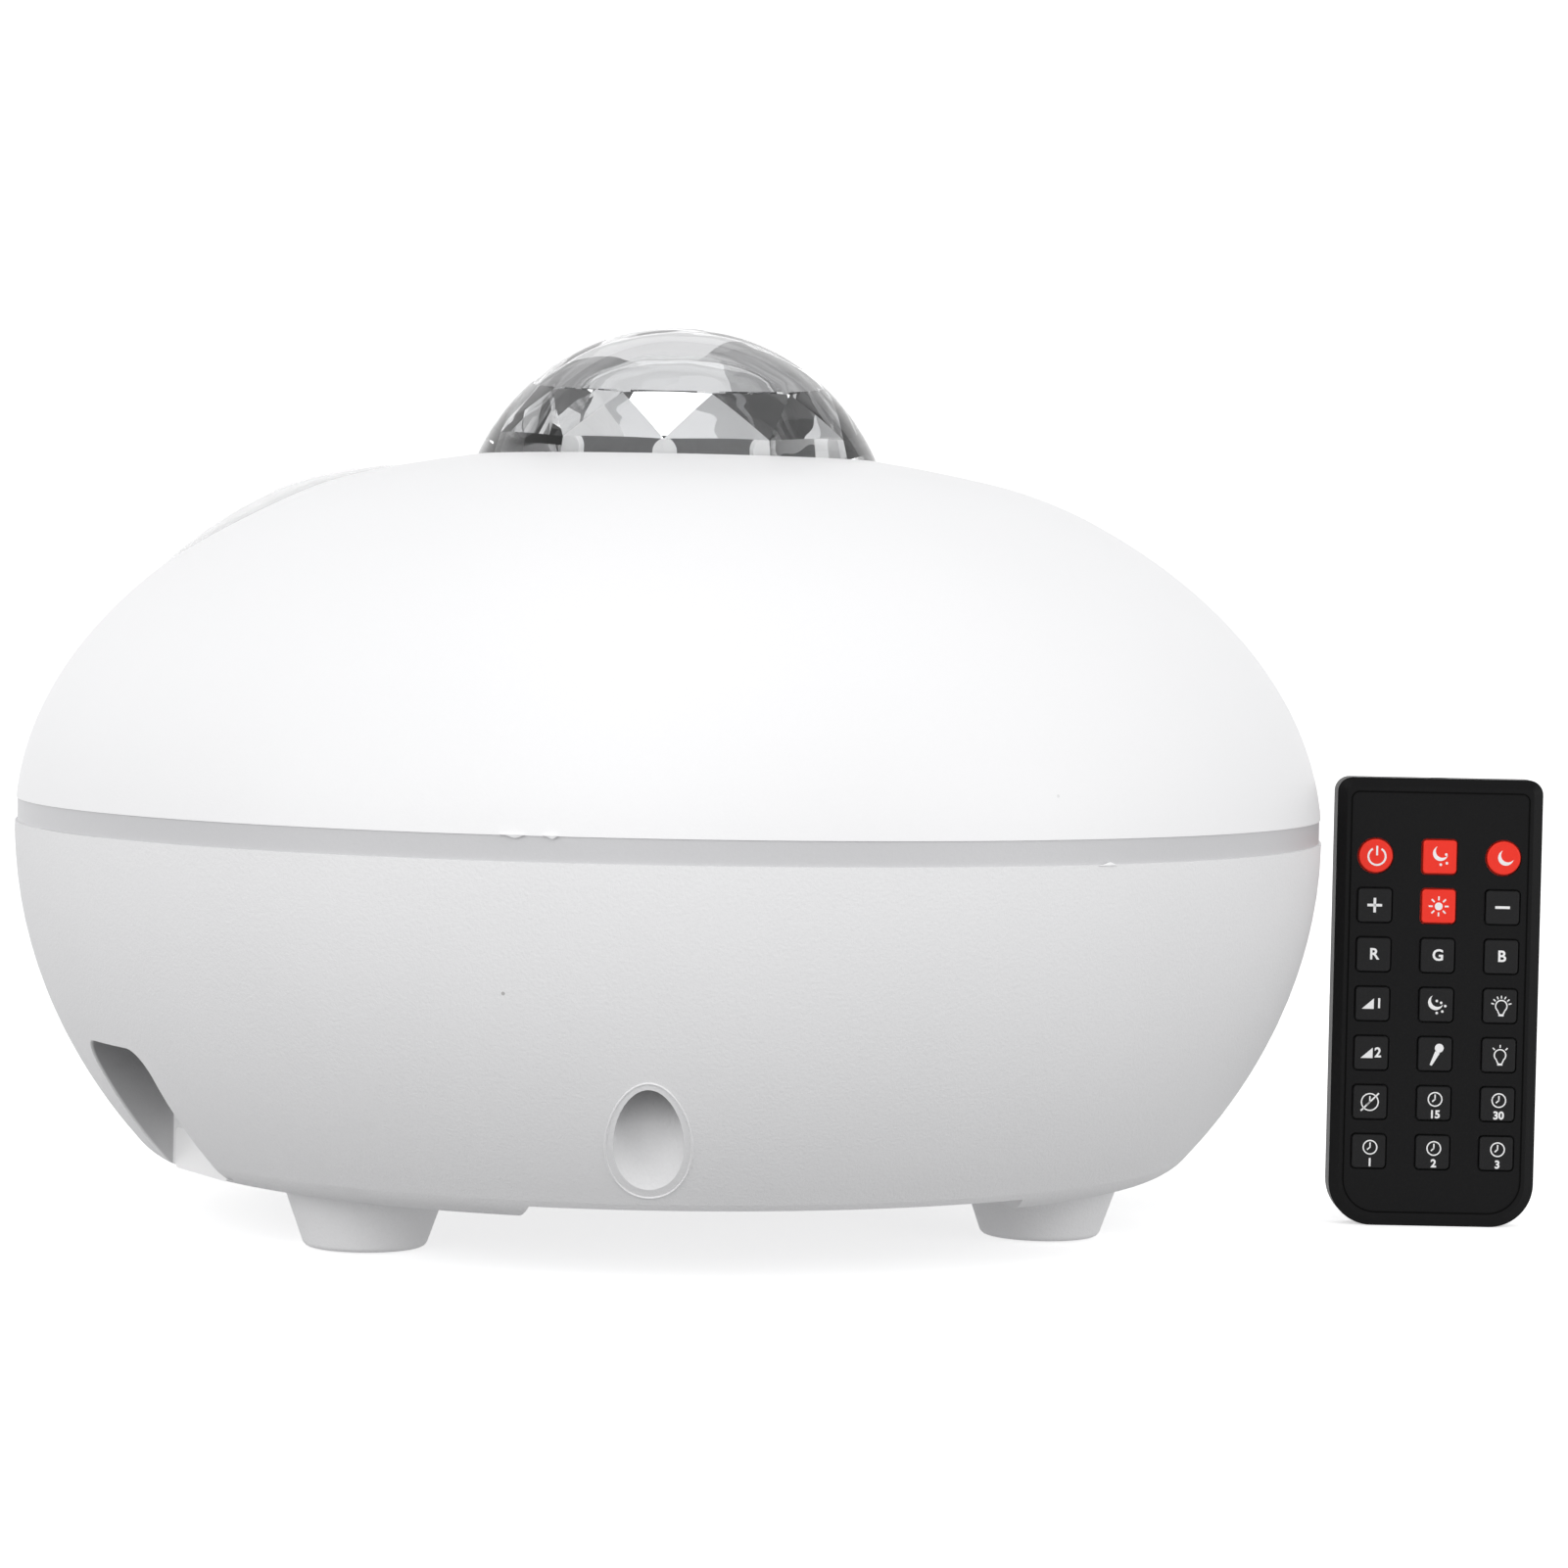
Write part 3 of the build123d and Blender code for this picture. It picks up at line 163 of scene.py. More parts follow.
streaked, shader = new_material("streaked_card", flag_black, flag_roughness)
tree = streaked.node_tree
spot = node_of(tree, "ShaderNodeTexCoord").outputs["Object"]
turned = node_of(tree, "ShaderNodeMapping", {
    "Vector": spot, "Rotation": (0.0, streak_tilt, 0.0), "Scale": streaks_per_metre,
})
streaks = node_of(tree, "ShaderNodeTexNoise", {"Vector": turned.outputs["Vector"], "Scale": 1.0})
fill(tree, shader, {
    "Emission Color": grey_ramp(tree, streaks.outputs["Fac"], streak_greys),
    "Emission Strength": 1.0,
})
black = new_material("black_flag", flag_black, flag_roughness)[0]
glow = glowing_card("glow_card", behind_glow)
boards = {
    # name: (one corner, the opposite corner, material)
    "flag_left": ((-0.75, -0.9, 0.12), (-0.75, 0.9, 0.8), black),
    "flag_right": ((0.75, -0.9, 0.12), (0.75, 0.9, 0.8), black),
    "flag_low": ((-1.2, -0.9, 0.001), (1.2, 1.2, 0.001), black),
    "glow_behind": ((-0.014, 0.15, 0.132), (0.048, 0.15, 0.163), glow),
    "flag_near": ((0.0125, 0.06, 0.139), (0.06, 0.06, 0.1675), black),
    "flag_behind": ((0.06, 1.0, 0.0), (0.9, 1.0, 0.3), black),
    "streaks_behind": ((-0.7, 1.0, 0.15), (-0.12, 1.0, 0.45), streaked),
    "streaks_left": ((-0.13, 0.06, 0.168), (-0.037, 0.06, 0.27), streaked),
    "streaks_right": ((0.01, 0.06, 0.168), (0.14, 0.06, 0.27), streaked),
}
for name, (low, high, material) in boards.items():
    flag = board(name, low, high, material)
    flag.visible_camera = False
    flag.visible_diffuse = False
    flag.visible_glossy = False
    flag.visible_shadow = False

world = bpy.data.worlds.new("studio")
bpy.context.scene.world = world
world.use_nodes = True
tree = world.node_tree
sky_place = node_of(tree, "ShaderNodeTexCoord").outputs["Generated"]
sky_split = node_of(tree, "ShaderNodeSeparateXYZ", {"Vector": sky_place})
sky_height = node_of(tree, "ShaderNodeMapRange", {
    "Value": sky_split.outputs["Z"], "From Min": -1.0,
})
fill(tree, tree.nodes["Background"], {
    "Color": grey_ramp(tree, sky_height.outputs["Result"], sky_greys),
})

soft_boxes = {
    # name: (where it stands, where it looks, width, height, watts)
    "overhead_box": ((-0.1, 0.05, 1.5), (0.0, 0.0, 0.1), 1.8, 1.6, 0.4),
    "front_box": ((-0.75, -1.5, 0.75), (0.0, 0.0, 0.08), 1.2, 1.0, 7.8),
    "left_box": ((-1.5, -0.6, 0.45), (0.0, 0.0, 0.06), 0.8, 0.8, 4.1),
    "right_box": ((1.3, -1.2, 0.45), (0.0, 0.0, 0.08), 0.9, 0.9, 7.2),
}
for name, (stand, aim, width, height, watts) in soft_boxes.items():
    lamp = bpy.data.lights.new(name, "AREA")
    lamp.shape = "RECTANGLE"
    lamp.size = width
    lamp.size_y = height
    lamp.energy = watts
    soft_box = bpy.data.objects.new(name, lamp)
    bpy.context.scene.collection.objects.link(soft_box)
    soft_box.location = stand
    soft_box.rotation_euler = (Vector(aim) - Vector(stand)).to_track_quat("-Z", "Y").to_euler()

# ---- Camera ----
# It stands low in front of the projector, 0.9 m away and a little to its left, and looks
# slightly down at it through a long lens.
camera_offset = Vector((-0.2058, -0.8772, 0.1211))      # from the foot of the projector's axis
sight = Vector((0.2513, 0.967, -0.0428)).normalized()
camera_up = Vector((-0.0083, 0.0464, 0.9989))
focal_length = 108.95           # in millimetres, like the sensor's width
sensor_width = 36.0

shell_low, shell_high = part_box("lower_shell")
axis_x = (shell_low.x + shell_high.x) / 2               # the projector's upright axis
camera_data = bpy.data.cameras.new("camera")
camera_data.lens = focal_length
camera_data.sensor_width = sensor_width
camera = bpy.data.objects.new("camera", camera_data)
bpy.context.scene.collection.objects.link(camera)
camera_right = sight.cross(camera_up).normalized()
camera_up = camera_right.cross(sight)
facing = Matrix((camera_right, camera_up, -sight)).transposed()
camera.matrix_world = Matrix.Translation(Vector((axis_x, 0, 0)) + camera_offset) @ facing.to_4x4()
bpy.context.scene.camera = camera
bpy.context.scene.view_settings.view_transform = "Standard"

# ---- Upper shell ----
# The domed top half of the casing, injection-moulded in satin white plastic with a fine
# texture. It screws down on the lower shell and carries the dome and the star window.
speck_reach = 0.055             # of the widest dark speck, as a share of its cell
speck_rarity = 0.975            # share of the cells that have no speck


def new_group(name, inputs, outputs=("Colour", "Roughness", "Height")):
    """A shader node group, with its given values, its results and the place on the piece."""
    group = bpy.data.node_groups.new(name, "ShaderNodeTree")
    kinds = {3: "NodeSocketVector", 4: "NodeSocketColor"}
    for socket_name, default in inputs.items():
        kind = kinds[len(default)] if isinstance(default, tuple) else "NodeSocketFloat"
        socket = group.interface.new_socket(socket_name, in_out="INPUT", socket_type=kind)
        socket.default_value = default
    for socket_name in outputs:
        kind = "NodeSocketColor" if socket_name == "Colour" else "NodeSocketFloat"
        group.interface.new_socket(socket_name, in_out="OUTPUT", socket_type=kind)
    given = node_of(group, "NodeGroupInput").outputs
    result = node_of(group, "NodeGroupOutput")
    place = node_of(group, "ShaderNodeTexCoord").outputs["Object"]
    return group, given, result, place


def calculate(tree, operation, first, second=0.0):
    """The result of a Math node on two sockets or numbers."""
    return node_of(tree, "ShaderNodeMath", {0: first, 1: second}, operation=operation).outputs[0]


def mix_colour(tree, share, first, second):
    """A colour between two others."""
    values = {0: share, 6: first, 7: second}
    return node_of(tree, "ShaderNodeMix", values, data_type="RGBA").outputs[2]


def shaded(tree, colour, value):
    """A colour made lighter or darker by a value about one."""
    return node_of(tree, "ShaderNodeHueSaturation", {"Color": colour, "Value": value}).outputs[0]


def surfaced(name, colour, roughness, group, values, depth, metallic=0.0):
    """A material with a group's colour, roughness and relief, which is depth metres deep."""
    material, shader = new_material(name, colour, roughness, metallic)
    tree = material.node_tree
    values = {"Roughness": roughness, **values}
    surface = node_of(tree, "ShaderNodeGroup", values, node_tree=group).outputs
    bump = node_of(tree, "ShaderNodeBump", {
        "Strength": 1.0, "Distance": depth, "Height": surface["Height"],
    })
    fill(tree, shader, {"Roughness": surface["Roughness"], "Normal": bump.outputs["Normal"]})
    if "Colour" in surface:
        fill(tree, shader, {"Base Color": surface["Colour"]})
    return material, shader


plastic_grain, given, result, place = new_group("plastic_grain", {
    "Grains per metre": 2500.0,
    "Colour": (0.8, 0.8, 0.8, 1.0),
    "Speck colour": (0.25, 0.24, 0.23, 1.0),
    "Specks per metre": 150.0,
    "Speck amount": 0.0,
    "Mottling": 0.03,
    "Roughness": 0.5,
    "Roughness spread": 0.1,
})
fine = node_of(plastic_grain, "ShaderNodeTexNoise", {
    "Vector": place, "Scale": given["Grains per metre"], "Detail": 2.0, "Roughness": 0.65,
}).outputs["Fac"]
broad = node_of(plastic_grain, "ShaderNodeTexNoise", {
    "Vector": place, "Scale": 22.0, "Detail": 4.0,
}).outputs["Fac"]
cells = node_of(plastic_grain, "ShaderNodeTexVoronoi", {
    "Vector": place, "Scale": given["Specks per metre"],
})
cell_shade = node_of(plastic_grain, "ShaderNodeSeparateColor", {"Color": cells.outputs["Color"]})
swing = calculate(plastic_grain, "SUBTRACT", broad, 0.5)
fine_swing = calculate(plastic_grain, "SUBTRACT", fine, 0.5)
both_swings = calculate(plastic_grain, "ADD", swing, fine_swing)
mottle = calculate(plastic_grain, "MULTIPLY", both_swings, given["Mottling"])
tinted = shaded(plastic_grain, given["Colour"], calculate(plastic_grain, "ADD", mottle, 1.0))
speck_size = calculate(plastic_grain, "MULTIPLY", cell_shade.outputs["Green"], speck_reach)
near = calculate(plastic_grain, "LESS_THAN", cells.outputs["Distance"], speck_size)
rare = calculate(plastic_grain, "GREATER_THAN", cell_shade.outputs["Red"], speck_rarity)
speck = calculate(plastic_grain, "MULTIPLY", near, rare)
speck = calculate(plastic_grain, "MULTIPLY", speck, given["Speck amount"])
spread = calculate(plastic_grain, "MULTIPLY", swing, given["Roughness spread"])
fill(plastic_grain, result, {
    "Colour": mix_colour(plastic_grain, speck, tinted, given["Speck colour"]),
    "Roughness": calculate(plastic_grain, "ADD", spread, given["Roughness"]),
    "Height": fine,
})


def moulding(name, colour, roughness, grains, depth, specular=0.5, **amounts):
    """Moulded plastic whose grain is depth metres deep; amounts are the group's other inputs."""
    values = {"Grains per metre": grains, "Colour": (*colour, 1.0)}
    for amount, value in amounts.items():
        values[amount.replace("_", " ").capitalize()] = value
    material, shader = surfaced(name, colour, roughness, plastic_grain, values, depth)
    shader.inputs["Specular IOR Level"].default_value = specular
    return material


def dress(material, *names):
    """Give CAD nodes their finish."""
    for name in names:
        for slot in nodes[name].material_slots:
            slot.material = material


satin_white = moulding(
    "satin_white", (0.93, 0.93, 0.935), 0.45, grains=2600.0, depth=0.00003,
    specular=0.35, mottling=0.02, speck_amount=0.2,
)
dress(satin_white, "upper_shell")

# ---- Trim band ----
# A grey ring clamped between the shells, just inside both lips. Where its mould halves met,
# three slivers of flash were never trimmed off.
MM = 0.001                      # the sizes of the pieces below are in millimetres
band_radius = 122.55
band_rise = 4.35                # of its top edge over the seam
flash_places = (                # direction in degrees, on the top edge or not, length
    (-115.4, True, 4.2),
    (-112.4, True, 2.6),
    (-66.0, False, 4.0),
)
flash_height = 0.35
flash_root = 0.1                # how far a sliver starts inside the lip
flash_least = 0.05
flash_steps = 10
flash_section = ((0.35, 0.0), (0.75, 0.0), (0.55, 1.0))     # out from the band, share of height

satin_grey = moulding(
    "satin_grey", (0.6, 0.6, 0.61), 0.42, grains=1800.0, depth=0.00002, mottling=0.05,
)
dress(satin_grey, "trim_band")
seam_z = shell_high.z
band_top_z = seam_z + band_rise * MM


def skin(bm, loops, closed=False, capped=False):
    """Faces between loops that follow one another; closed joins the last loop to the first."""
    following = loops[1:] + loops[:1] if closed else loops[1:]
    for low, high in zip(loops, following):
        for number in range(len(low)):
            after = (number + 1) % len(low)
            bm.faces.new((low[number], low[after], high[after], high[number]))
    if capped:
        bm.faces.new(loops[0][::-1])
        bm.faces.new(loops[-1])


bm = bmesh.new()
for direction, on_top, length in flash_places:
    edge_z, way = (band_top_z, -1) if on_top else (seam_z, 1)
    root_z = edge_z - way * flash_root * MM
    sections = []
    for step in range(flash_steps + 1):
        share = step / flash_steps
        angle = math.radians(direction) + (share - 0.5) * length / band_radius
        rise = flash_height * math.sin(math.pi * share) * (1 - 0.5 * math.sin(7 * share))
        corners = []
        for reach, height in flash_section:
            radius = (band_radius + reach) * MM
            z = root_z + way * (rise + flash_least) * MM * height
            corners.append(bm.verts.new((
                axis_x + radius * math.cos(angle), radius * math.sin(angle), z
            )))
        sections.append(corners)
    skin(bm, sections, capped=True)
seam_flash = piece_from("seam_flash", bm, satin_white)
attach(seam_flash, "projector")

# ---- Lower shell ----
# The bowl, moulded in one with its three feet in a duller white. Its tool was spark-eroded,
# so it is grainier than the top; painted shade greys its pockets. A witness ring rims each well.
shell_radius = 123.0
shell_drop = 100.3
well_circle = 107.8
well_start = 15.4
well_count = 3
well_directions = [well_start + 360 * well / well_count for well in range(well_count)]
pocket_edge = 0.9985            # shares of the bowl's outside at which the painted shade starts and at which it is full
pocket_full = 0.995             # starts and at which it is full
back_blend = 0.0003             # in metres
painted_shade_warmth = 1.02
witness_radius = 7.3
witness_reach = 6.93            # along the flank, where the ring is squeezed
witness_shift = -0.37
witness_wire = 0.2
witness_steps = 96
wire_sides = 8

pockets = [
    # direction, distance and size in plan, where the back wall starts, floor, ceiling, shade
    (-164.0, 108.0, 19.0, 96.35, -16.0, 38.0, 0.25),
]
for direction in well_directions:
    pockets.append((direction, well_circle, 8.0, 0.0, 29.0, 42.0, 0.12))

# Painted shade: darkens the colour inside the niche and the wells, more up towards their ceilings
pocket_shade, given, result, place = new_group(
    "pocket_shade",
    {
        "Middle": (0.0, 0.0, 0.0),
        "Half axes": (1.0, 1.0, 1.0),
        "Pocket": (0.0, 0.0, 0.0),
        "Pocket size": 0.01,
        "Back distance": 0.0,
        "Floor height": 0.0,
        "Ceiling height": 0.04,
        "Colour": (0.8, 0.8, 0.8, 1.0),
        "Shade": (0.3, 0.3, 0.3, 1.0),
    },
    ("Colour",),
)


def vector_math(tree, operation, first, second=(0.0, 0.0, 0.0)):
    """A Vector Math node on two sockets or vectors."""
    values = {0: first, 1: second}
    return node_of(tree, "ShaderNodeVectorMath", values, operation=operation).outputs


def distance_from(middle, operation, scale):
    """Distance of the place from a middle, once each axis is multiplied or divided by a scale."""
    away = vector_math(pocket_shade, "SUBTRACT", place, middle)[0]
    scaled = vector_math(pocket_shade, operation, away, scale)[0]
    return vector_math(pocket_shade, "LENGTH", scaled)["Value"]


def ramp_up(source, start, end):
    """Nought to one as a source goes from a start to an end."""
    values = {0: source, 1: start, 2: end}
    return node_of(pocket_shade, "ShaderNodeMapRange", values).outputs[0]


flat = (1.0, 1.0, 0.0)
height = node_of(pocket_shade, "ShaderNodeSeparateXYZ", {0: place}).outputs["Z"]
depth_share = distance_from(given["Middle"], "DIVIDE", given["Half axes"])
axis_distance = distance_from(given["Middle"], "MULTIPLY", flat)
pocket_distance = distance_from(given["Pocket"], "MULTIPLY", flat)
back_end = calculate(pocket_shade, "ADD", given["Back distance"], back_blend)
mask = ramp_up(depth_share, pocket_edge, pocket_full)
for factor in (
    ramp_up(axis_distance, given["Back distance"], back_end),
    calculate(pocket_shade, "LESS_THAN", pocket_distance, given["Pocket size"]),
    ramp_up(height, given["Floor height"], given["Ceiling height"]),
):
    mask = calculate(pocket_shade, "MULTIPLY", mask, factor)
fill(pocket_shade, result, {
    "Colour": mix_colour(pocket_shade, mask, given["Colour"], given["Shade"]),
})

eroded_white = moulding(
    "eroded_white", (0.84, 0.84, 0.845), 0.6, grains=1700.0, depth=0.00009,
    specular=0.3, mottling=0.06, speck_amount=0.6,
)
tree = eroded_white.node_tree
shader = tree.nodes["Principled BSDF"]
colour = shader.inputs["Base Color"].links[0].from_socket
# Each pocket gets painted shade, darker up towards its ceiling
for direction, distance, size, back, floor_z, ceiling_z, shade in pockets:
    angle = math.radians(direction)
    spot = (axis_x + distance * MM * math.cos(angle), distance * MM * math.sin(angle), 0.0)
    colour = node_of(tree, "ShaderNodeGroup", {
        "Middle": (axis_x, 0.0, seam_z),
        "Half axes": (shell_radius * MM, shell_radius * MM, shell_drop * MM),
        "Pocket": spot,
        "Pocket size": size * MM,
        "Back distance": back * MM,
        "Floor height": floor_z * MM,
        "Ceiling height": ceiling_z * MM,
        "Colour": colour,
        "Shade": (shade, shade, shade * painted_shade_warmth, 1.0),
    }, node_tree=pocket_shade).outputs["Colour"]
fill(tree, shader, {"Base Color": colour})
dress(eroded_white, "lower_shell")


def flank_point(x, y):
    """A point of the lower shell's flank, from its place in plan, and the flank's normal."""
    radius = math.hypot(x, y)
    level = math.sqrt(1 - (radius / shell_radius) ** 2)
    z = seam_z / MM - shell_drop * level
    slope = shell_drop * radius / (shell_radius**2 * level)
    normal = Vector((x / radius * slope, y / radius * slope, -1)).normalized()
    return Vector((x, y, z)), normal


def wire_along(bm, points, normals, radius, sides):
    """A closed ring of round wire through the points."""
    loops = []
    for number, (point, normal) in enumerate(zip(points, normals)):
        ahead = points[(number + 1) % len(points)] - points[number - 1]
        across = ahead.cross(normal).normalized()
        loop = []
        for side in range(sides):
            angle = 2 * math.pi * side / sides
            offset = across * math.cos(angle) + normal * math.sin(angle)
            loop.append(bm.verts.new(point + offset * radius))
        loops.append(loop)
    skin(bm, loops, closed=True)


bm = bmesh.new()
for direction in well_directions:
    cosine, sine = math.cos(math.radians(direction)), math.sin(math.radians(direction))
    points, normals = [], []
    for step in range(witness_steps):
        angle = 2 * math.pi * step / witness_steps
        out = well_circle + witness_shift + witness_reach * math.cos(angle)
        side = witness_radius * math.sin(angle)
        point, normal = flank_point(out * cosine - side * sine, out * sine + side * cosine)
        points.append((point + Vector((axis_x / MM, 0, 0))) * MM)
        normals.append(normal)
    wire_along(bm, points, normals, witness_wire * MM, wire_sides)
witness_rings = piece_from("witness_rings", bm, eroded_white, smooth=True)
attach(witness_rings, "projector")

# ---- Case screws ----
# Three pan-head steel screws, one at the top of each well. A cross recess is punched in
# each head, drawn as a thin dark cross of painted shade.
screw_head_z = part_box("case_screws")[0].z
recess_length = 3.2
recess_width = 0.8
recess_lift = 0.03
clean_brightness = 1.15         # of metal without a stain
stain_darkness = 0.35
scratch_dullness = 0.25

metal_brush, given, result, place = new_group("metal_brush", {
    "Lines per metre": 2000.0,
    "Stretch": (1.0, 1.0, 1.0),
    "Colour": (0.6, 0.6, 0.6, 1.0),
    "Roughness": 0.3,
})
scratches = node_of(metal_brush, "ShaderNodeTexNoise", {
    "Vector": vector_math(metal_brush, "MULTIPLY", place, given["Stretch"])[0],
    "Scale": given["Lines per metre"], "Detail": 3.0, "Roughness": 0.7,
}).outputs["Fac"]
stains = node_of(metal_brush, "ShaderNodeTexNoise", {
    "Vector": place, "Scale": 160.0, "Detail": 3.0,
}).outputs["Fac"]
dulling = calculate(metal_brush, "MULTIPLY", stains, stain_darkness)
dulled = calculate(metal_brush, "SUBTRACT", clean_brightness, dulling)
rub = calculate(metal_brush, "MULTIPLY", scratches, scratch_dullness)
fill(metal_brush, result, {
    "Colour": shaded(metal_brush, given["Colour"], dulled),
    "Roughness": calculate(metal_brush, "ADD", rub, given["Roughness"]),
    "Height": scratches,
})


def metal(name, colour, roughness, lines, depth=0.00001, stretch=(1.0, 1.0, 1.0)):
    """Brushed or turned metal; stretch squeezes the lines along X, Y and Z."""
    values = {"Colour": (*colour, 1.0), "Lines per metre": lines, "Stretch": stretch}
    return surfaced(name, colour, roughness, metal_brush, values, depth, metallic=1.0)[0]


zinc_steel = metal("zinc_steel", (0.6, 0.6, 0.62), 0.25, lines=1500.0)
dress(zinc_steel, "case_screws", "lamp_screws", "board_screws", "optics_screws")
# Painted shade: flat near-black crosses and ovals stand for the shade in recesses and crimps
painted_recess_shade = moulding("painted_recess_shade", (0.03, 0.03, 0.032), 0.6, grains=3000.0, depth=0.00001)


def new_tree(name, inputs):
    """A Geometry Nodes tree for a piece, with its given values and its result."""
    tree = bpy.data.node_groups.new(name, "GeometryNodeTree")
    tree.is_modifier = True
    for socket_name, kind in {"Geometry": "Geometry", **inputs}.items():
        tree.interface.new_socket(socket_name, in_out="INPUT", socket_type=f"NodeSocket{kind}")
    tree.interface.new_socket("Geometry", in_out="OUTPUT", socket_type="NodeSocketGeometry")
    return tree, node_of(tree, "NodeGroupInput").outputs, node_of(tree, "NodeGroupOutput")


def real_copies(tree, piece, points, angle):
    """Copies of a piece on points, turned by an angle about Z and made real."""
    turned = node_of(tree, "ShaderNodeCombineXYZ", {"Z": angle}).outputs[0]
    rotation = node_of(tree, "FunctionNodeEulerToRotation", {0: turned}).outputs[0]
    copies = node_of(tree, "GeometryNodeInstanceOnPoints", {
        "Points": points, "Instance": piece, "Rotation": rotation,
    })
    return node_of(tree, "GeometryNodeRealizeInstances", {0: copies.outputs[0]}).outputs[0]


def end_tree(tree, result, geometry, material):
    """Give the geometry its material, as the last step of a tree."""
    finish = node_of(tree, "GeometryNodeSetMaterial", {"Geometry": geometry, "Material": material})
    fill(tree, result, {"Geometry": finish.outputs[0]})


# Sets copies of a piece round a circle, each turned to face away from its middle
around, given, result = new_tree("around_a_circle", {
    "Count": "Int",
    "Radius": "Float",
    "Start": "Float",
    "Middle": "Vector",
    "Material": "Material",
})
index = node_of(around, "GeometryNodeInputIndex").outputs[0]
pitch = calculate(around, "DIVIDE", 2 * math.pi, given["Count"])
angle = calculate(around, "ADD", calculate(around, "MULTIPLY", index, pitch), given["Start"])
spot = node_of(around, "ShaderNodeCombineXYZ", {
    "X": calculate(around, "MULTIPLY", calculate(around, "COSINE", angle), given["Radius"]),
    "Y": calculate(around, "MULTIPLY", calculate(around, "SINE", angle), given["Radius"]),
}).outputs[0]
spots = node_of(around, "GeometryNodePoints", {
    "Count": given["Count"], "Position": vector_math(around, "ADD", spot, given["Middle"])[0],
})
copies = real_copies(around, given["Geometry"], spots.outputs[0], angle)
end_tree(around, result, copies, given["Material"])


def grown(piece, tree, values):
    """Run a tree on a piece with values by input name, and keep the result as a plain mesh."""
    modifier = piece.modifiers.new(tree.name, "NODES")
    modifier.node_group = tree
    for item in tree.interface.items_tree:
        if item.item_type == "SOCKET" and item.in_out == "INPUT" and item.name in values:
            modifier[item.identifier] = values[item.name]
    graph = bpy.context.evaluated_depsgraph_get()
    mesh = bpy.data.meshes.new_from_object(piece.evaluated_get(graph), depsgraph=graph)
    piece.modifiers.remove(modifier)
    piece.data = mesh


def in_mm(x, y, z):
    """A place in millimetres about the origin."""
    return Vector((x, y, z)) * MM


def loop_of(bm, outline, place, height):
    """Corners along an outline at one height; place turns (x, y, z) millimetres to a point."""
    return [bm.verts.new(place(x, y, height)) for x, y in outline]


def slab(bm, outline, place, low, high):
    """A flat closed slab between two heights; the outline runs anticlockwise."""
    skin(bm, [loop_of(bm, outline, place, height) for height in (low, high)], capped=True)


def cross_outline(length, width):
    """Outline of a cross."""
    far, near = length / 2, width / 2
    outline = []
    for cosine, sine in ((1, 0), (0, 1), (-1, 0), (0, -1)):
        for x, y in ((far, -near), (far, near), (near, near)):
            outline.append((x * cosine - y * sine, x * sine + y * cosine))
    return outline


bm = bmesh.new()
slab(bm, cross_outline(recess_length, recess_width), in_mm, -recess_lift, 0.0)
case_recesses = piece_from("case_recesses", bm, painted_recess_shade)
grown(case_recesses, around, {
    "Count": well_count,
    "Radius": well_circle * MM,
    "Start": math.radians(well_start),
    "Middle": (axis_x, 0.0, screw_head_z),
    "Material": painted_recess_shade,
})
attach(case_recesses, "projector")

# ---- Foot pads ----
# Soft silicone discs, one pressed into the bottom of each foot. They keep the projector from
# sliding and lift its bowl off the table.
silicone = moulding(
    "silicone", (0.6, 0.6, 0.61), 0.75, grains=900.0, depth=0.0001, mottling=0.1,
)
dress(silicone, "foot_pad_1", "foot_pad_2", "foot_pad_3")

# ---- Clear dome ----
# A thick-walled ball of clear acrylic, polished outside. Its hollow is cut in a crown of
# facets that throw the light about, and its flange is clamped under the shell's opening.
ball_radius = 41.4
ball_height = 127.05
dome_foot = 138.25
flange_radius = 42.5
flange_top = 141.25
cap_radius = 36.5
cap_blend = 0.4
facet_count = 10
facet_start = -107.7            # direction of the first low corner, in degrees
facet_pitch = 2 * math.pi / facet_count
facet_low_radius = 30.2
facet_high_radius = 25.3
facet_low = 145.5
facet_high = 153.6
steps_per_facet = 12
dome_steps = facet_count * steps_per_facet
ball_rings = 28
cap_rings = 12
facet_edge = 0.14               # edges bent by more than this angle stay sharp
smear_start = 0.55              # noise over which there is a smear
acrylic_bending = 1.49          # its index of refraction

clear_smears, given, result, place = new_group(
    "clear_smears",
    {
        "Roughness": 0.02,
        "Smear amount": 0.05,
        "Smears per metre": 60.0,
        "Ripples per metre": 90.0,
    },
    ("Roughness", "Height"),
)
smear = node_of(clear_smears, "ShaderNodeTexNoise", {
    "Vector": place, "Scale": given["Smears per metre"],
    "Detail": 5.0, "Roughness": 0.6, "Distortion": 1.5,
}).outputs["Fac"]
ripple = node_of(clear_smears, "ShaderNodeTexNoise", {
    "Vector": place, "Scale": given["Ripples per metre"], "Detail": 1.0,
}).outputs["Fac"]
above = calculate(clear_smears, "SUBTRACT", smear, smear_start)
above = calculate(clear_smears, "MAXIMUM", above, 0.0)
above = calculate(clear_smears, "MULTIPLY", above, given["Smear amount"])
fill(clear_smears, result, {
    "Roughness": calculate(clear_smears, "ADD", above, given["Roughness"]),
    "Height": ripple,
})


def clear_plastic(name, tint, roughness, smears, ripple, clearness=1.0):
    """Clear plastic with faint smears and moulding ripples that are ripple metres deep."""
    values = {"Smear amount": smears}
    material, shader = surfaced(name, tint, roughness, clear_smears, values, ripple)
    shader.inputs["Transmission Weight"].default_value = clearness
    shader.inputs["IOR"].default_value = acrylic_bending
    return material


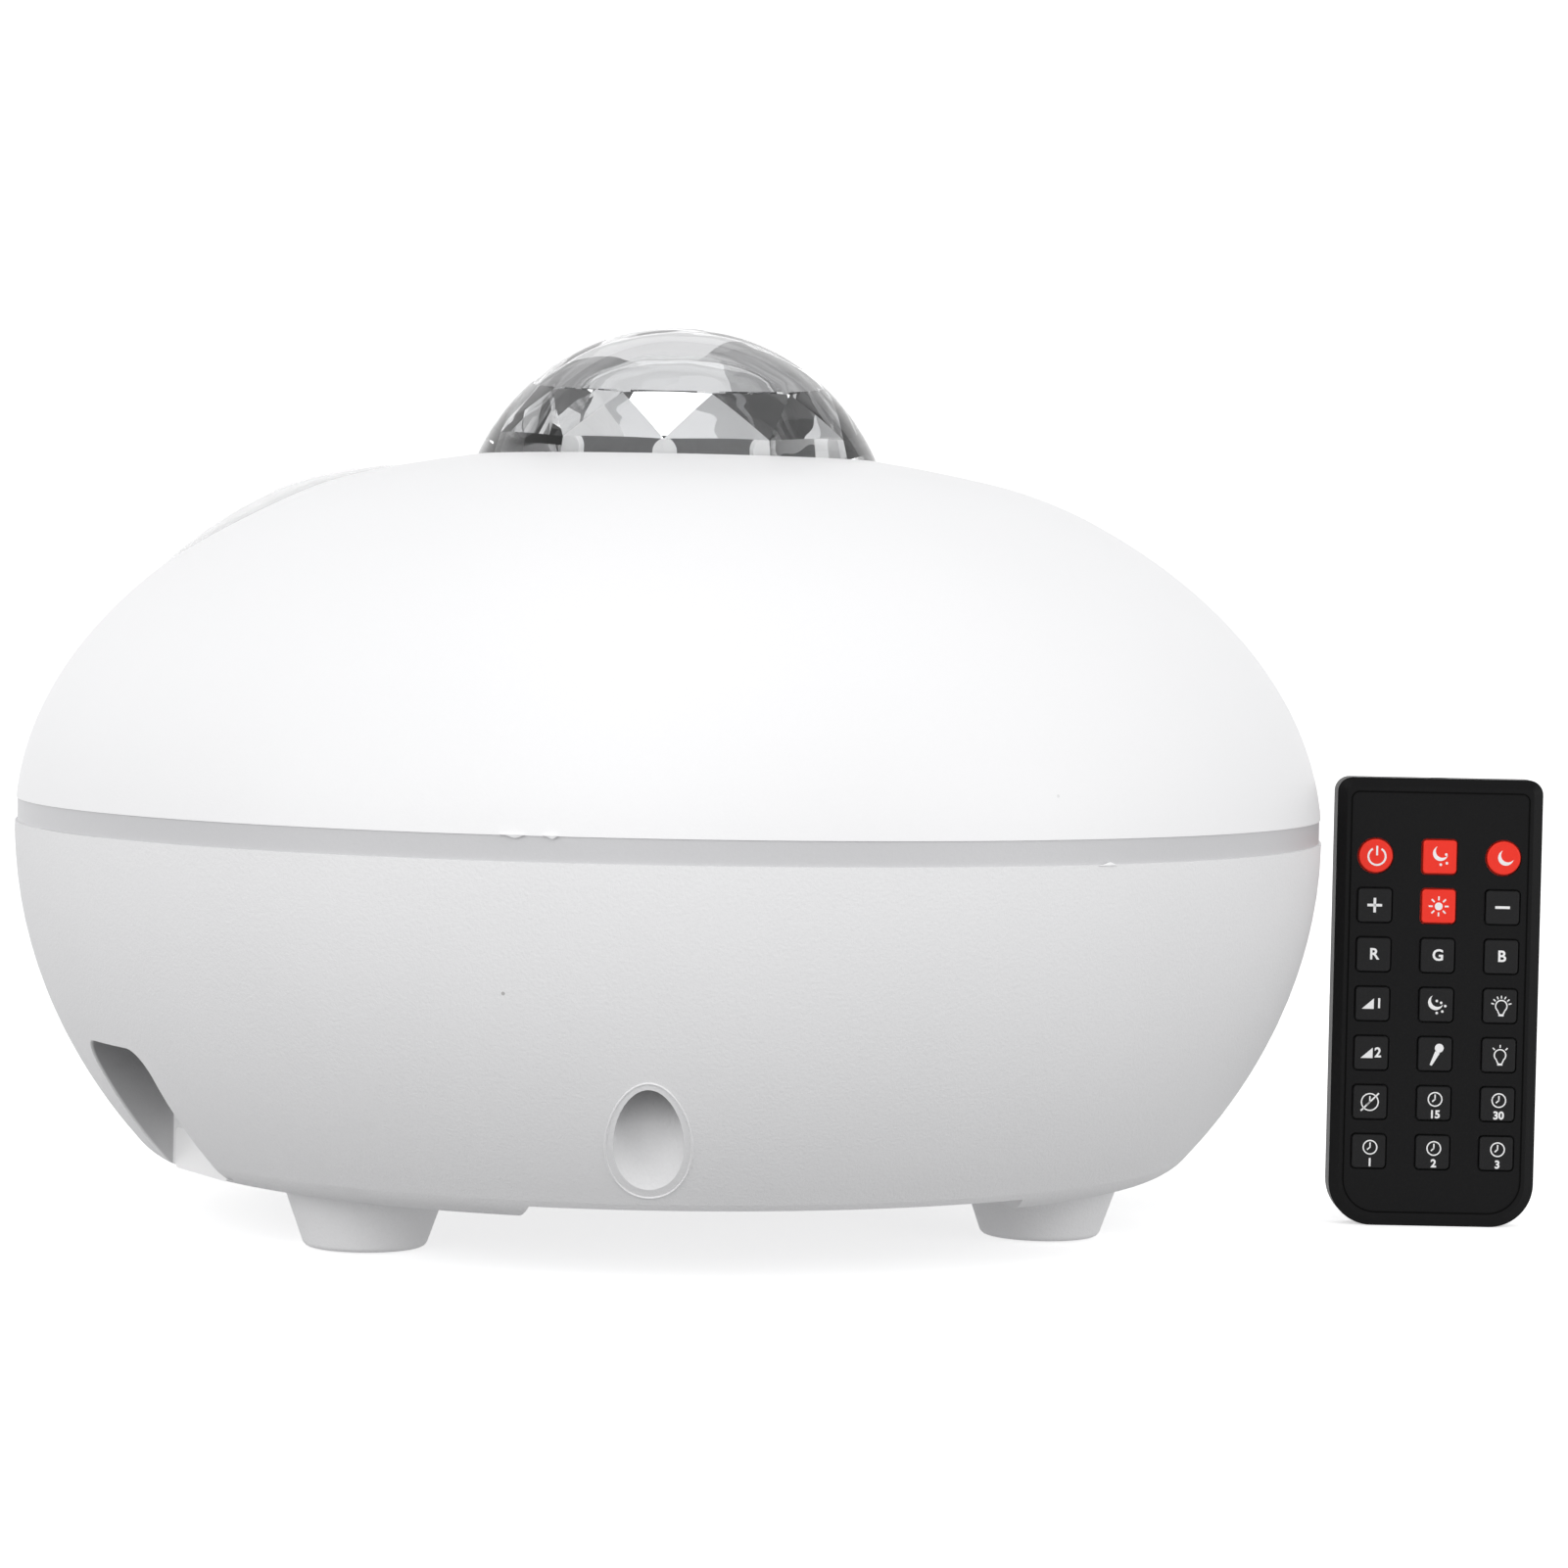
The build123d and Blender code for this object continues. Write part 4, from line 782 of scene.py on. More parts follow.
def dome_ring(bm, height, radius, corner_shift=None):
    """A round ring of the dome, or a polygon with its corners shifted by a share of a side."""
    ring = []
    for step in range(dome_steps):
        turned = 2 * math.pi * step / dome_steps
        reach = radius
        if corner_shift is not None:
            within = (turned - corner_shift * facet_pitch) % facet_pitch - facet_pitch / 2
            reach = radius * math.cos(facet_pitch / 2) / math.cos(within)
        angle = turned + math.radians(facet_start)
        ring.append(bm.verts.new((
            axis_x + reach * MM * math.cos(angle), reach * MM * math.sin(angle), height * MM,
        )))
    return ring


def ball_top(bm, rings, radius, start_height, steps):
    """Carry rings on over the top of a ball from a height, and close it at the pole."""
    start = math.asin((start_height - ball_height) / radius)
    for number in range(steps):
        angle = start + (math.pi / 2 - start) * number / steps
        height = ball_height + radius * math.sin(angle)
        rings.append(dome_ring(bm, height, radius * math.cos(angle)))
    skin(bm, rings)
    pole = bm.verts.new((axis_x, 0.0, (ball_height + radius) * MM))
    for step in range(dome_steps):
        bm.faces.new((rings[-1][step], rings[-1][(step + 1) % dome_steps], pole))


bm = bmesh.new()
foot = dome_ring(bm, dome_foot, flange_radius)
flange = dome_ring(bm, flange_top, flange_radius)
ball_top(bm, [foot, flange], ball_radius, flange_top, ball_rings)
mouth = dome_ring(bm, dome_foot, facet_low_radius, 0.0)
low_ring = dome_ring(bm, facet_low, facet_low_radius, 0.0)
high_ring = dome_ring(bm, facet_high, facet_high_radius, 0.5)
skin(bm, [low_ring, mouth, foot])
ball_top(bm, [high_ring], cap_radius, facet_high + cap_blend, cap_rings)
half = steps_per_facet // 2
for first in range(0, dome_steps, steps_per_facet):
    bottom = [low_ring[(first + step) % dome_steps] for step in range(steps_per_facet + 1)]
    bm.faces.new([*bottom, high_ring[first + half]])
    top = [high_ring[(first + half + step) % dome_steps] for step in range(steps_per_facet + 1)]
    bm.faces.new([*top, bottom[-1]])
dome_acrylic = clear_plastic(
    "dome_acrylic", (0.97, 0.975, 0.98), 0.01, smears=0.05, ripple=0.00012,
)
facet_dome = piece_from("facet_dome", bm, dome_acrylic, smooth=True, sharp=facet_edge)
facet_dome.visible_shadow = False
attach(facet_dome, "projector")
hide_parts("crystal_dome")

# ---- Scalloped ring ----
# A white ring pressed into the mouth of the dome's hollow. Ten round-topped tongues stand
# on it, one behind each low corner of the facets.
ring_inner = 26.8
ring_outer = 28.2
ring_low = 138.5
ring_top = 140.6
ring_steps = 120
tongue_half = 2.3
tongue_top = 145.2
tongue_steps = 16

ring_white = moulding("ring_white", (0.97, 0.97, 0.97), 0.45, grains=2400.0, depth=0.00002)


def disc_outline(x, y, radius, steps=14):
    """Outline of a disc."""
    outline = []
    for step in range(steps):
        angle = 2 * math.pi * step / steps
        outline.append((x + radius * math.cos(angle), y + radius * math.sin(angle)))
    return outline


def on_axis(x, y, z):
    """A place in millimetres about the foot of the projector's axis."""
    return Vector((axis_x, 0, 0)) + in_mm(x, y, z)


bm = bmesh.new()
ring_profile = (
    (ring_inner, ring_low), (ring_outer, ring_low), (ring_outer, ring_top), (ring_inner, ring_top),
)
skin(bm, [
    loop_of(bm, disc_outline(0, 0, radius, ring_steps), on_axis, height)
    for radius, height in ring_profile
], closed=True)
scallop_ring = piece_from("scallop_ring", bm, ring_white)
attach(scallop_ring, "projector")


def on_tongue(s, z, radius):
    """A place on a tongue, s millimetres round the ring, before the tongues are set round it."""
    angle = s / ring_outer
    return in_mm(radius * math.cos(angle) - ring_outer, radius * math.sin(angle), z)


outline = [(-tongue_half, ring_top), (tongue_half, ring_top)]
for step in range(tongue_steps + 1):
    angle = math.pi * step / tongue_steps
    rise = tongue_top - tongue_half * (1 - math.sin(angle))
    outline.append((tongue_half * math.cos(angle), rise))
bm = bmesh.new()
slab(bm, outline, on_tongue, ring_inner, ring_outer)
scallops = piece_from("scallops", bm, ring_white)
grown(scallops, around, {
    "Count": facet_count,
    "Radius": ring_outer * MM,
    "Start": math.radians(facet_start),
    "Middle": (axis_x, 0.0, 0.0),
    "Material": ring_white,
})
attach(scallops, "projector")

# ---- Lamp housing ----
# A grey cup that clamps the dome from below and holds the lamp. Three screws in its ears
# go up into bosses of the shell, each head's cross recess a dark cross of painted shade.
lamp_screw_circle = 50.5
lamp_screw_start = 105.0
lamp_screw_count = 3
small_cross = cross_outline(2.4, 0.6)       # of the recess in a small screw, length and width
recess_half = recess_lift / 2

cup_grey = moulding(
    "cup_grey", (0.3, 0.3, 0.305), 0.5, grains=1500.0, depth=0.00005, mottling=0.08,
)
dress(cup_grey, "lamp_housing")

bm = bmesh.new()
slab(bm, small_cross, in_mm, -recess_half, recess_half)
lamp_recesses = piece_from("lamp_recesses", bm, painted_recess_shade)
grown(lamp_recesses, around, {
    "Count": lamp_screw_count,
    "Radius": lamp_screw_circle * MM,
    "Start": math.radians(lamp_screw_start),
    "Middle": (axis_x, 0.0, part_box("lamp_screws")[0].z),
    "Material": painted_recess_shade,
})
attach(lamp_recesses, "projector")

# ---- Heat sink and LED board ----
# A turned aluminium plate glued to the cup's floor, and on it a white board with six LEDs
# under clear lenses. Tinned pads lie either side of each LED.
led_circle = 18.0
led_count = 6
pad_length = 2.6
pad_width = 1.4
pad_offset = 7.2
pad_lift = 0.05
hole_rim = (0.5, 0.48, 0.42, 1.0)
hole_reach = 0.1                # of a plated hole, as a share of its cell
track_breaks = 0.47             # noise under which the board has no tracks
lacquer = 0.3
board_roughness = 0.35
board_rub = 0.2
track_height = 0.00004          # in metres

turned_aluminium = metal(
    "turned_aluminium", (0.75, 0.76, 0.77), 0.3, lines=900.0, depth=0.00002,
    stretch=(1.0, 1.0, 0.1),
)
dress(turned_aluminium, "heat_sink")

circuit_tracks, given, result, place = new_group("circuit_tracks", {
    "Mask colour": (0.01, 0.12, 0.04, 1.0),
    "Track colour": (0.02, 0.2, 0.07, 1.0),
    "Tracks per metre": 300.0,
    "Turn": (0.0, 0.0, 0.0),
    "Roughness": board_roughness,
})
turned = node_of(circuit_tracks, "ShaderNodeVectorRotate", {
    "Vector": place, "Rotation": given["Turn"],
}, rotation_type="EULER_XYZ").outputs[0]
tracks = node_of(circuit_tracks, "ShaderNodeTexBrick", {
    "Vector": turned, "Scale": given["Tracks per metre"],
    "Mortar Size": 0.06, "Brick Width": 1.3, "Row Height": 0.42,
}).outputs["Fac"]
breaks = node_of(circuit_tracks, "ShaderNodeTexNoise", {
    "Vector": turned, "Scale": 140.0, "Detail": 1.0,
}).outputs["Fac"]
holes = node_of(circuit_tracks, "ShaderNodeTexVoronoi", {
    "Vector": turned, "Scale": 190.0,
}).outputs["Distance"]
shown = calculate(circuit_tracks, "GREATER_THAN", breaks, track_breaks)
mask = calculate(circuit_tracks, "MULTIPLY", shown, tracks)
hole = calculate(circuit_tracks, "LESS_THAN", holes, hole_reach)
lacquered = mix_colour(circuit_tracks, mask, given["Mask colour"], given["Track colour"])
rub = calculate(circuit_tracks, "MULTIPLY", breaks, board_rub)
fill(circuit_tracks, result, {
    "Colour": mix_colour(circuit_tracks, hole, lacquered, hole_rim),
    "Roughness": calculate(circuit_tracks, "ADD", rub, given["Roughness"]),
    "Height": mask,
})


def circuit(name, mask_colour, track_colour, tracks, turn=(0.0, 0.0, 0.0)):
    """A lacquered circuit board with its tracks, so many a metre, showing through."""
    values = {
        "Mask colour": (*mask_colour, 1.0), "Track colour": (*track_colour, 1.0),
        "Tracks per metre": tracks, "Turn": turn,
    }
    material, shader = surfaced(
        name, mask_colour, board_roughness, circuit_tracks, values, track_height,
    )
    shader.inputs["Coat Weight"].default_value = lacquer
    return material


white_board = circuit("white_board", (0.82, 0.83, 0.82), (0.7, 0.72, 0.7), tracks=130.0)
dress(white_board, "led_board")
phosphor = moulding(
    "phosphor", (0.85, 0.66, 0.12), 0.35, grains=3000.0, depth=0.00002, mottling=0.25,
)
dress(phosphor, "led_emitters")
lens_acrylic = clear_plastic(
    "lens_acrylic", (0.97, 0.98, 1.0), 0.03, smears=0.1, ripple=0.00001,
)
dress(lens_acrylic, "led_lenses")

tin = metal("tin", (0.72, 0.72, 0.7), 0.3, lines=1200.0, depth=0.00003)


def rectangle(x, y, length, width):
    """Outline of a rectangle about a point."""
    return [
        (x + side_x * length / 2, y + side_y * width / 2)
        for side_x, side_y in ((-1, -1), (1, -1), (1, 1), (-1, 1))
    ]


bm = bmesh.new()
for side in (-1, 1):
    pad = rectangle(0, side * pad_offset, pad_width, pad_length)
    slab(bm, pad, in_mm, -pad_lift / 2, pad_lift / 2)
led_pads = piece_from("led_pads", bm, tin)
grown(led_pads, around, {
    "Count": led_count,
    "Radius": led_circle * MM,
    "Start": 0.0,
    "Middle": (axis_x, 0.0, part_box("led_board")[1].z),
    "Material": tin,
})
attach(led_pads, "projector")

# ---- Ripple disc and its motor ----
# A clear disc with round hollows turns over the LEDs on the shaft of a small steel-cased
# motor. Three crimp marks hold the motor's end cap, drawn as dark ovals of painted shade.
crimp_count = 3
crimp_start = 0.5
crimp_radius = 10.4
crimp_size = 1.8
crimp_lift = 0.06
crimp_steps = 10

disc_acrylic = clear_plastic(
    "disc_acrylic", (0.96, 0.98, 1.0), 0.04, smears=0.2, ripple=0.00002,
)
dress(disc_acrylic, "ripple_disc")
motor_steel = metal(
    "motor_steel", (0.62, 0.62, 0.63), 0.28, lines=700.0, depth=0.00002, stretch=(1.0, 1.0, 0.05),
)
dress(motor_steel, "disc_motor", "star_motor")

bm = bmesh.new()
oval = [(x / 2, y) for x, y in disc_outline(0, 0, crimp_size, crimp_steps)]
slab(bm, oval, in_mm, -crimp_lift / 2, crimp_lift / 2)
motor_crimps = piece_from("motor_crimps", bm, painted_recess_shade)
grown(motor_crimps, around, {
    "Count": crimp_count,
    "Radius": crimp_radius * MM,
    "Start": crimp_start,
    "Middle": (axis_x, 0.0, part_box("disc_motor")[0].z),
    "Material": painted_recess_shade,
})
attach(motor_crimps, "projector")

# ---- Star window ----
# A white bezel ring is glued flush into the shoulder of the shell. It holds a bulging lens
# of milky plastic that the star optics shine through.
window_radius = 75.0
window_direction = math.radians(165.0)
window_height = 131.3
window_tilt = math.radians(26.687)

ring_inner_radius = 26.0
ring_outer_radius = 32.1
ring_depth = 3.4
ring_steps_across = 5
ring_steps_round = 144
lens_radius = 25.95
lens_rise = 5.2
lens_wall = 2.0
lens_rings = 14
lens_hollow = 0.94              # share of the lens's radius that its hollow reaches
edge_drop = 0.25
window_edge = math.radians(40)  # edges bent by more than this angle stay sharp

crown_height = 146.5            # the shell's surface: a bowl from the seam up and a flatter
cap_curve = 274.0               # cap on it, blended where they meet
shell_rise = 76.9
blend_middle = 69.0
blend_reach = 5.9
blend_curve = 80.0
rise_limit = 9.0                # the surface is sought between plus and minus this rise
rise_halvings = 30


def on_plane(origin, across, out):
    """Turn (x, y, z) millimetres on a plane into a place; origin in millimetres."""
    across, out = across.normalized(), out.normalized()
    along = out.cross(across)
    return lambda x, y, z: (origin + across * x + along * y + out * z) * MM


away = Vector((math.cos(window_direction), math.sin(window_direction), 0))
on_window = on_plane(
    Vector((axis_x / MM, 0, window_height)) + away * window_radius,
    Vector((-away.y, away.x, 0)),
    away * math.sin(window_tilt) + Vector((0, 0, math.cos(window_tilt))),
)


def shell_height(radius):
    """Height of the upper shell's surface at a distance from the axis, in millimetres."""
    bowl = seam_z / MM + shell_rise * math.sqrt(1 - (radius / shell_radius) ** 2)
    cap = crown_height - cap_curve + math.sqrt(cap_curve**2 - radius**2)
    blend = max(0.0, blend_reach - abs(radius - blend_middle)) ** 2 / (2 * blend_curve)
    return min(bowl, cap) - blend


def flush_rise(x, y):
    """How far the shell's surface lies above the window's plane at a point of it."""
    low, high = -rise_limit, rise_limit
    for halving in range(rise_halvings):
        rise = (low + high) / 2
        point = on_window(x, y, rise) / MM
        if point.z > shell_height(math.hypot(point.x - axis_x / MM, point.y)):
            high = rise
        else:
            low = rise
    return (low + high) / 2


def window_rings(bm, rows):
    """Rings round the window; each row gives a radius and a rise for each angle."""
    rings = []
    for radius, rise_at in rows:
        ring = []
        for step in range(ring_steps_round):
            angle = 2 * math.pi * step / ring_steps_round
            x, y = radius * math.cos(angle), radius * math.sin(angle)
            ring.append(bm.verts.new(on_window(x, y, rise_at(angle))))
        rings.append(ring)
    return rings


def flush_at(radius, drop=0.0):
    """A rise for each angle, flush with the shell and lowered by a drop."""
    return lambda angle: flush_rise(radius * math.cos(angle), radius * math.sin(angle)) - drop


def lens_at(radius, drop):
    """A rise for each angle of the bulging lens, lowered by a drop."""
    share = (radius / lens_radius) ** 2
    rim_at = flush_at(lens_radius)
    return lambda angle: rim_at(angle) * share + lens_rise * (1 - share) - drop


bm = bmesh.new()
rows = []
for step in range(ring_steps_across + 1):
    radius = ring_inner_radius + (ring_outer_radius - ring_inner_radius) * step / ring_steps_across
    rows.append((radius, flush_at(radius, edge_drop if step in (0, ring_steps_across) else 0.0)))
rows.append((ring_outer_radius, flush_at(ring_outer_radius, ring_depth)))
rows.append((ring_inner_radius, flush_at(ring_inner_radius, ring_depth)))
skin(bm, window_rings(bm, rows), closed=True)
flush_bezel = piece_from("flush_bezel", bm, satin_white, smooth=True, sharp=window_edge)
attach(flush_bezel, "projector")
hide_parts("window_bezel")

bm = bmesh.new()
outer_rows, inner_rows = [], []
for number in range(lens_rings):
    radius = lens_radius * (1 - number / lens_rings)
    outer_rows.append((radius, lens_at(radius, edge_drop if number == 0 else 0.0)))
    inner_rows.append((radius * lens_hollow, lens_at(radius * lens_hollow, lens_wall)))
outside = window_rings(bm, outer_rows)
inside = window_rings(bm, inner_rows)
skin(bm, outside)
skin(bm, inside)
skin(bm, [outside[0], inside[0]])
bm.faces.new(outside[-1])
bm.faces.new(inside[-1])
window_acrylic = clear_plastic(
    "window_acrylic", (0.96, 0.96, 0.965), 0.12, smears=0.15, ripple=0.00002, clearness=0.45,
)
bulging_lens = piece_from("bulging_lens", bm, window_acrylic, smooth=True, sharp=window_edge)
bulging_lens.visible_shadow = False
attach(bulging_lens, "projector")
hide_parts("window_lens")

# ---- Star optics ----
# A black bracket under the window carries a geared wheel with a star film on it, the small
# motor whose pinion drives it, and a brass laser. Three screws hold the bracket from below.
optics_screw_angles = (-90.0, 25.0, 155.0)
optics_screw_circle = 28.5
optics_head_drop = 15.4
film_radius = 20.2
film_drop = 8.0
film_thickness = 0.06
film_steps = 72
film_colour = (0.01, 0.01, 0.015)
film_roughness = 0.18
star_haze = 0.3
star_colour = (0.75, 0.8, 0.9, 1.0)
star_reach = 0.28               # of the widest star, as a share of its cell
laser_offset = -12.0
laser_top_drop = 11.7
laser_glass_rows = ((2.4, -0.1), (2.4, 0.05), (1.2, 0.25))      # radius and rise
laser_steps = 32

matt_black = moulding(
    "matt_black", (0.02, 0.02, 0.021), 0.55, grains=1800.0, depth=0.00004, mottling=0.2,
)
dress(matt_black, "optics_bracket")
gear_white = moulding(
    "gear_white", (0.75, 0.74, 0.7), 0.4, grains=1200.0, depth=0.00002, mottling=0.1,
)
dress(gear_white, "star_wheel", "star_pinion")
turned_brass = metal(
    "turned_brass", (0.78, 0.56, 0.24), 0.22, lines=800.0, depth=0.00002, stretch=(1.0, 1.0, 0.1),
)
dress(turned_brass, "laser_module")

star_dots, given, result, place = new_group(
    "star_dots",
    {"Stars per metre": 420.0, "Film colour": (*film_colour, 1.0)},
    ("Colour", "Roughness"),
)
stars = node_of(star_dots, "ShaderNodeTexVoronoi", {
    "Vector": place, "Scale": given["Stars per metre"],
}).outputs
star_shade = node_of(star_dots, "ShaderNodeSeparateColor", {"Color": stars["Color"]})
star_size = calculate(star_dots, "MULTIPLY", star_shade.outputs["Green"], star_reach)
star_mask = calculate(star_dots, "LESS_THAN", stars["Distance"], star_size)
haze = calculate(star_dots, "MULTIPLY", star_mask, star_haze)
fill(star_dots, result, {
    "Colour": mix_colour(star_dots, star_mask, given["Film colour"], star_colour),
    "Roughness": calculate(star_dots, "ADD", haze, film_roughness),
})
star_film, shader = new_material("star_film", film_colour, film_roughness)
dots = node_of(star_film.node_tree, "ShaderNodeGroup", node_tree=star_dots).outputs
fill(star_film.node_tree, shader, {"Base Color": dots["Colour"], "Roughness": dots["Roughness"]})


def face_at(place, x0, y0, z0=0.0):
    """The same face, measured from a point of it."""
    return lambda x, y, z: place(x0 + x, y0 + y, z0 + z)


bm = bmesh.new()
slab(
    bm, disc_outline(0, 0, film_radius, film_steps), face_at(on_window, 0, 0, -film_drop),
    -film_thickness / 2, film_thickness / 2,
)
star_sheet = piece_from("star_sheet", bm, star_film)
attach(star_sheet, "star_wheel")

# Cross recesses of the optics screws, dark crosses of painted shade
bm = bmesh.new()
for angle in optics_screw_angles:
    middle_x = optics_screw_circle * math.cos(math.radians(angle))
    middle_y = optics_screw_circle * math.sin(math.radians(angle))
    head = face_at(on_window, middle_x, middle_y, -optics_head_drop)
    slab(bm, small_cross, head, -recess_half, recess_half)
optics_recesses = piece_from("optics_recesses", bm, painted_recess_shade)
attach(optics_recesses, "projector")

bm = bmesh.new()
laser_face = face_at(on_window, 0, laser_offset, -laser_top_drop)
skin(bm, [
    loop_of(bm, disc_outline(0, 0, radius, laser_steps), laser_face, rise)
    for radius, rise in laser_glass_rows
], capped=True)
red_glass = clear_plastic("red_glass", (0.35, 0.03, 0.03), 0.03, smears=0.05, ripple=0.000004)
laser_glass = piece_from("laser_glass", bm, red_glass)
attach(laser_glass, "projector")

# ---- Control board ----
# A green board on four posts over the bowl's floor. Chip resistors are soldered round the
# black processor, and a screw holds each corner; its cross recess is a dark cross of painted
# shade.
niche_direction = math.radians(-164.0)
niche_out = Vector((math.cos(niche_direction), math.sin(niche_direction), 0))
niche_side = Vector((-math.sin(niche_direction), math.cos(niche_direction), 0))
board_middle = 66.45
board_top = 19.0
board_screw_out = 20.25
board_screw_side = 23.8
board_screw_rise = 1.4
processor_out = -6.0
processor_width = 9.0
processor_height = 1.3
driver_place = (12.0, 16.0)
driver_size = (5.0, 4.0, 1.2)
chip_bevel = 0.2
legs_per_side = 10
leg_pitch = 0.8
leg_reach = 0.45
leg_length = 1.0
leg_width = 0.35
leg_height = 0.3
leg_bevel = 0.08
resistor_length = 1.6
resistor_width = 0.9
resistor_height = 0.5
resistor_bevel = 0.06
cap_length = 0.35
cap_extra = 0.05
resistor_field = (26.0, 34.0)
resistor_middle = (-1.0, -2.0)
resistor_spacing = 4.2
resistor_seed = 7

green_board = circuit("green_board", (0.008, 0.11, 0.035), (0.02, 0.2, 0.07), tracks=260.0)
dress(green_board, "control_board")
chip_black = moulding(
    "chip_black", (0.02, 0.02, 0.02), 0.5, grains=4000.0, depth=0.00002, mottling=0.15,
)
on_board = on_plane(            # x outward and y sideways from its middle, z above it
    Vector((axis_x / MM, 0, board_top)) + niche_out * board_middle, niche_out, Vector((0, 0, 1)),
)
on_processor = face_at(on_board, processor_out, 0.0)


def block(bm, place, middle, size, bevel):
    """A block that stands on a face, with its top edges bevelled."""
    (x, y), (length, width, height) = middle, size
    skin(bm, [
        loop_of(bm, rectangle(x, y, length - 2 * inset, width - 2 * inset), place, z)
        for inset, z in ((0.0, 0.0), (0.0, height - bevel), (bevel, height))
    ], capped=True)


bm = bmesh.new()
processor_size = (processor_width, processor_width, processor_height)
block(bm, on_processor, (0.0, 0.0), processor_size, chip_bevel)
block(bm, on_board, driver_place, driver_size, chip_bevel)
board_chips = piece_from("board_chips", bm, chip_black)
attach(board_chips, "projector")

bm = bmesh.new()
for number in range(legs_per_side):
    along = (number - (legs_per_side - 1) / 2) * leg_pitch
    for side in (-1, 1):
        reach = side * (processor_width / 2 + leg_reach)
        block(bm, on_processor, (along, reach), (leg_width, leg_length, leg_height), leg_bevel)
        block(bm, on_processor, (reach, along), (leg_length, leg_width, leg_height), leg_bevel)
processor_legs = piece_from("processor_legs", bm, tin)
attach(processor_legs, "projector")

# Scatters copies of a piece over a field, turned square to it
scatter, given, result = new_tree("scatter_on_a_field", {
    "Length": "Float",
    "Width": "Float",
    "Spacing": "Float",
    "Seed": "Int",
    "Middle": "Vector",
    "Turn": "Vector",
    "Material": "Material",
})
field = node_of(scatter, "GeometryNodeMeshGrid", {
    "Size X": given["Length"], "Size Y": given["Width"],
})
spots = node_of(scatter, "GeometryNodeDistributePointsOnFaces", {
    "Mesh": field.outputs["Mesh"], "Distance Min": given["Spacing"], "Density Max": 200000.0,
    "Seed": given["Seed"],
}, distribute_method="POISSON")
quarter = node_of(scatter, "FunctionNodeRandomValue", {
    4: 0, 5: 1, "Seed": given["Seed"],
}, data_type="INT")
quarter_turn = calculate(scatter, "MULTIPLY", quarter.outputs[2], math.pi / 2)
placed = node_of(scatter, "GeometryNodeTransform", {
    "Geometry": real_copies(scatter, given["Geometry"], spots.outputs["Points"], quarter_turn),
    "Translation": given["Middle"], "Rotation": given["Turn"],
})
end_tree(scatter, result, placed.outputs[0], given["Material"])

cap_offset = (resistor_length - cap_length) / 2
resistor_parts = {
    # name: (material, middles, length, how much wider and higher than the resistor)
    "chip_resistors": (chip_black, (0.0,), resistor_length - 2 * cap_length, 0.0),
    "resistor_caps": (tin, (-cap_offset, cap_offset), cap_length, cap_extra),
}
for name, (material, middles, length, extra) in resistor_parts.items():
    size = (length, resistor_width + extra, resistor_height + extra)
    bm = bmesh.new()
    for middle in middles:
        block(bm, in_mm, (middle, 0.0), size, resistor_bevel)
    resistors = piece_from(name, bm, material)
    grown(resistors, scatter, {
        "Length": resistor_field[0] * MM,
        "Width": resistor_field[1] * MM,
        "Spacing": resistor_spacing * MM,
        "Seed": resistor_seed,
        "Middle": on_board(*resistor_middle, 0.0),
        "Turn": (0.0, 0.0, niche_direction),
        "Material": material,
    })
    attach(resistors, "projector")

bm = bmesh.new()
for side_x in (-1, 1):
    for side_y in (-1, 1):
        middle_x, middle_y = side_x * board_screw_out, side_y * board_screw_side
        head = face_at(on_board, middle_x, middle_y, board_screw_rise)
        slab(bm, small_cross, head, -recess_half, recess_half)
board_recesses = piece_from("board_recesses", bm, painted_recess_shade)
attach(board_recesses, "projector")

# ---- Power socket, power button and switch ----
# In the niche at the back edge of the bowl a round black socket and a white push button
# show in the wall, over a bare paper label. The socket has a nickel pin; the button carries
# a printed power mark.
niche_wall = 95.5
socket_side = -5.8
button_side = 6.1
inlet_height = 24.2
pin_rows = ((1.06, -9.4), (1.06, -1.2), (0.85, -0.75), (0.5, -0.45))    # radius and rise
pin_steps = 24
button_face = 0.8
mark_lift = 0.04
mark_radius = 1.6
mark_width = 0.4
mark_gap = 70                   # the opening at the top of the mark's ring, in degrees
mark_bar = (0.4, 2.1)           # from where to where its bar runs up
label_half_width = 11.6
label_low = 12.0
label_high = 19.4
label_corner = 1.0
label_thickness = 0.12
label_steps = 6

on_niche = on_plane(
    Vector((axis_x / MM, 0, 0)) + niche_out * niche_wall, niche_side, niche_out
)
dress(matt_black, "dc_socket")
button_white = moulding(
    "button_white", (0.86, 0.86, 0.86), 0.4, grains=2600.0, depth=0.00002,
)
dress(button_white, "power_button")
switch_black = moulding(
    "switch_black", (0.04, 0.04, 0.042), 0.4, grains=1600.0, depth=0.00002, mottling=0.2,
)
dress(switch_black, "tact_switch")

nickel = metal("nickel", (0.7, 0.68, 0.63), 0.2, lines=1500.0)
bm = bmesh.new()
socket_face = face_at(on_niche, socket_side, inlet_height)
skin(bm, [
    loop_of(bm, disc_outline(0, 0, radius, pin_steps), socket_face, rise)
    for radius, rise in pin_rows
], capped=True)
socket_pin = piece_from("socket_pin", bm, nickel)
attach(socket_pin, "projector")


def arc_outline(x, y, radius, width, start, stop, steps=18):
    """Outline of a curved stroke, from one angle to another in degrees."""
    outer, inner = [], []
    for step in range(steps + 1):
        angle = math.radians(start + (stop - start) * step / steps)
        for line, reach in ((outer, radius + width / 2), (inner, radius - width / 2)):
            line.append((x + reach * math.cos(angle), y + reach * math.sin(angle)))
    return outer + inner[::-1]


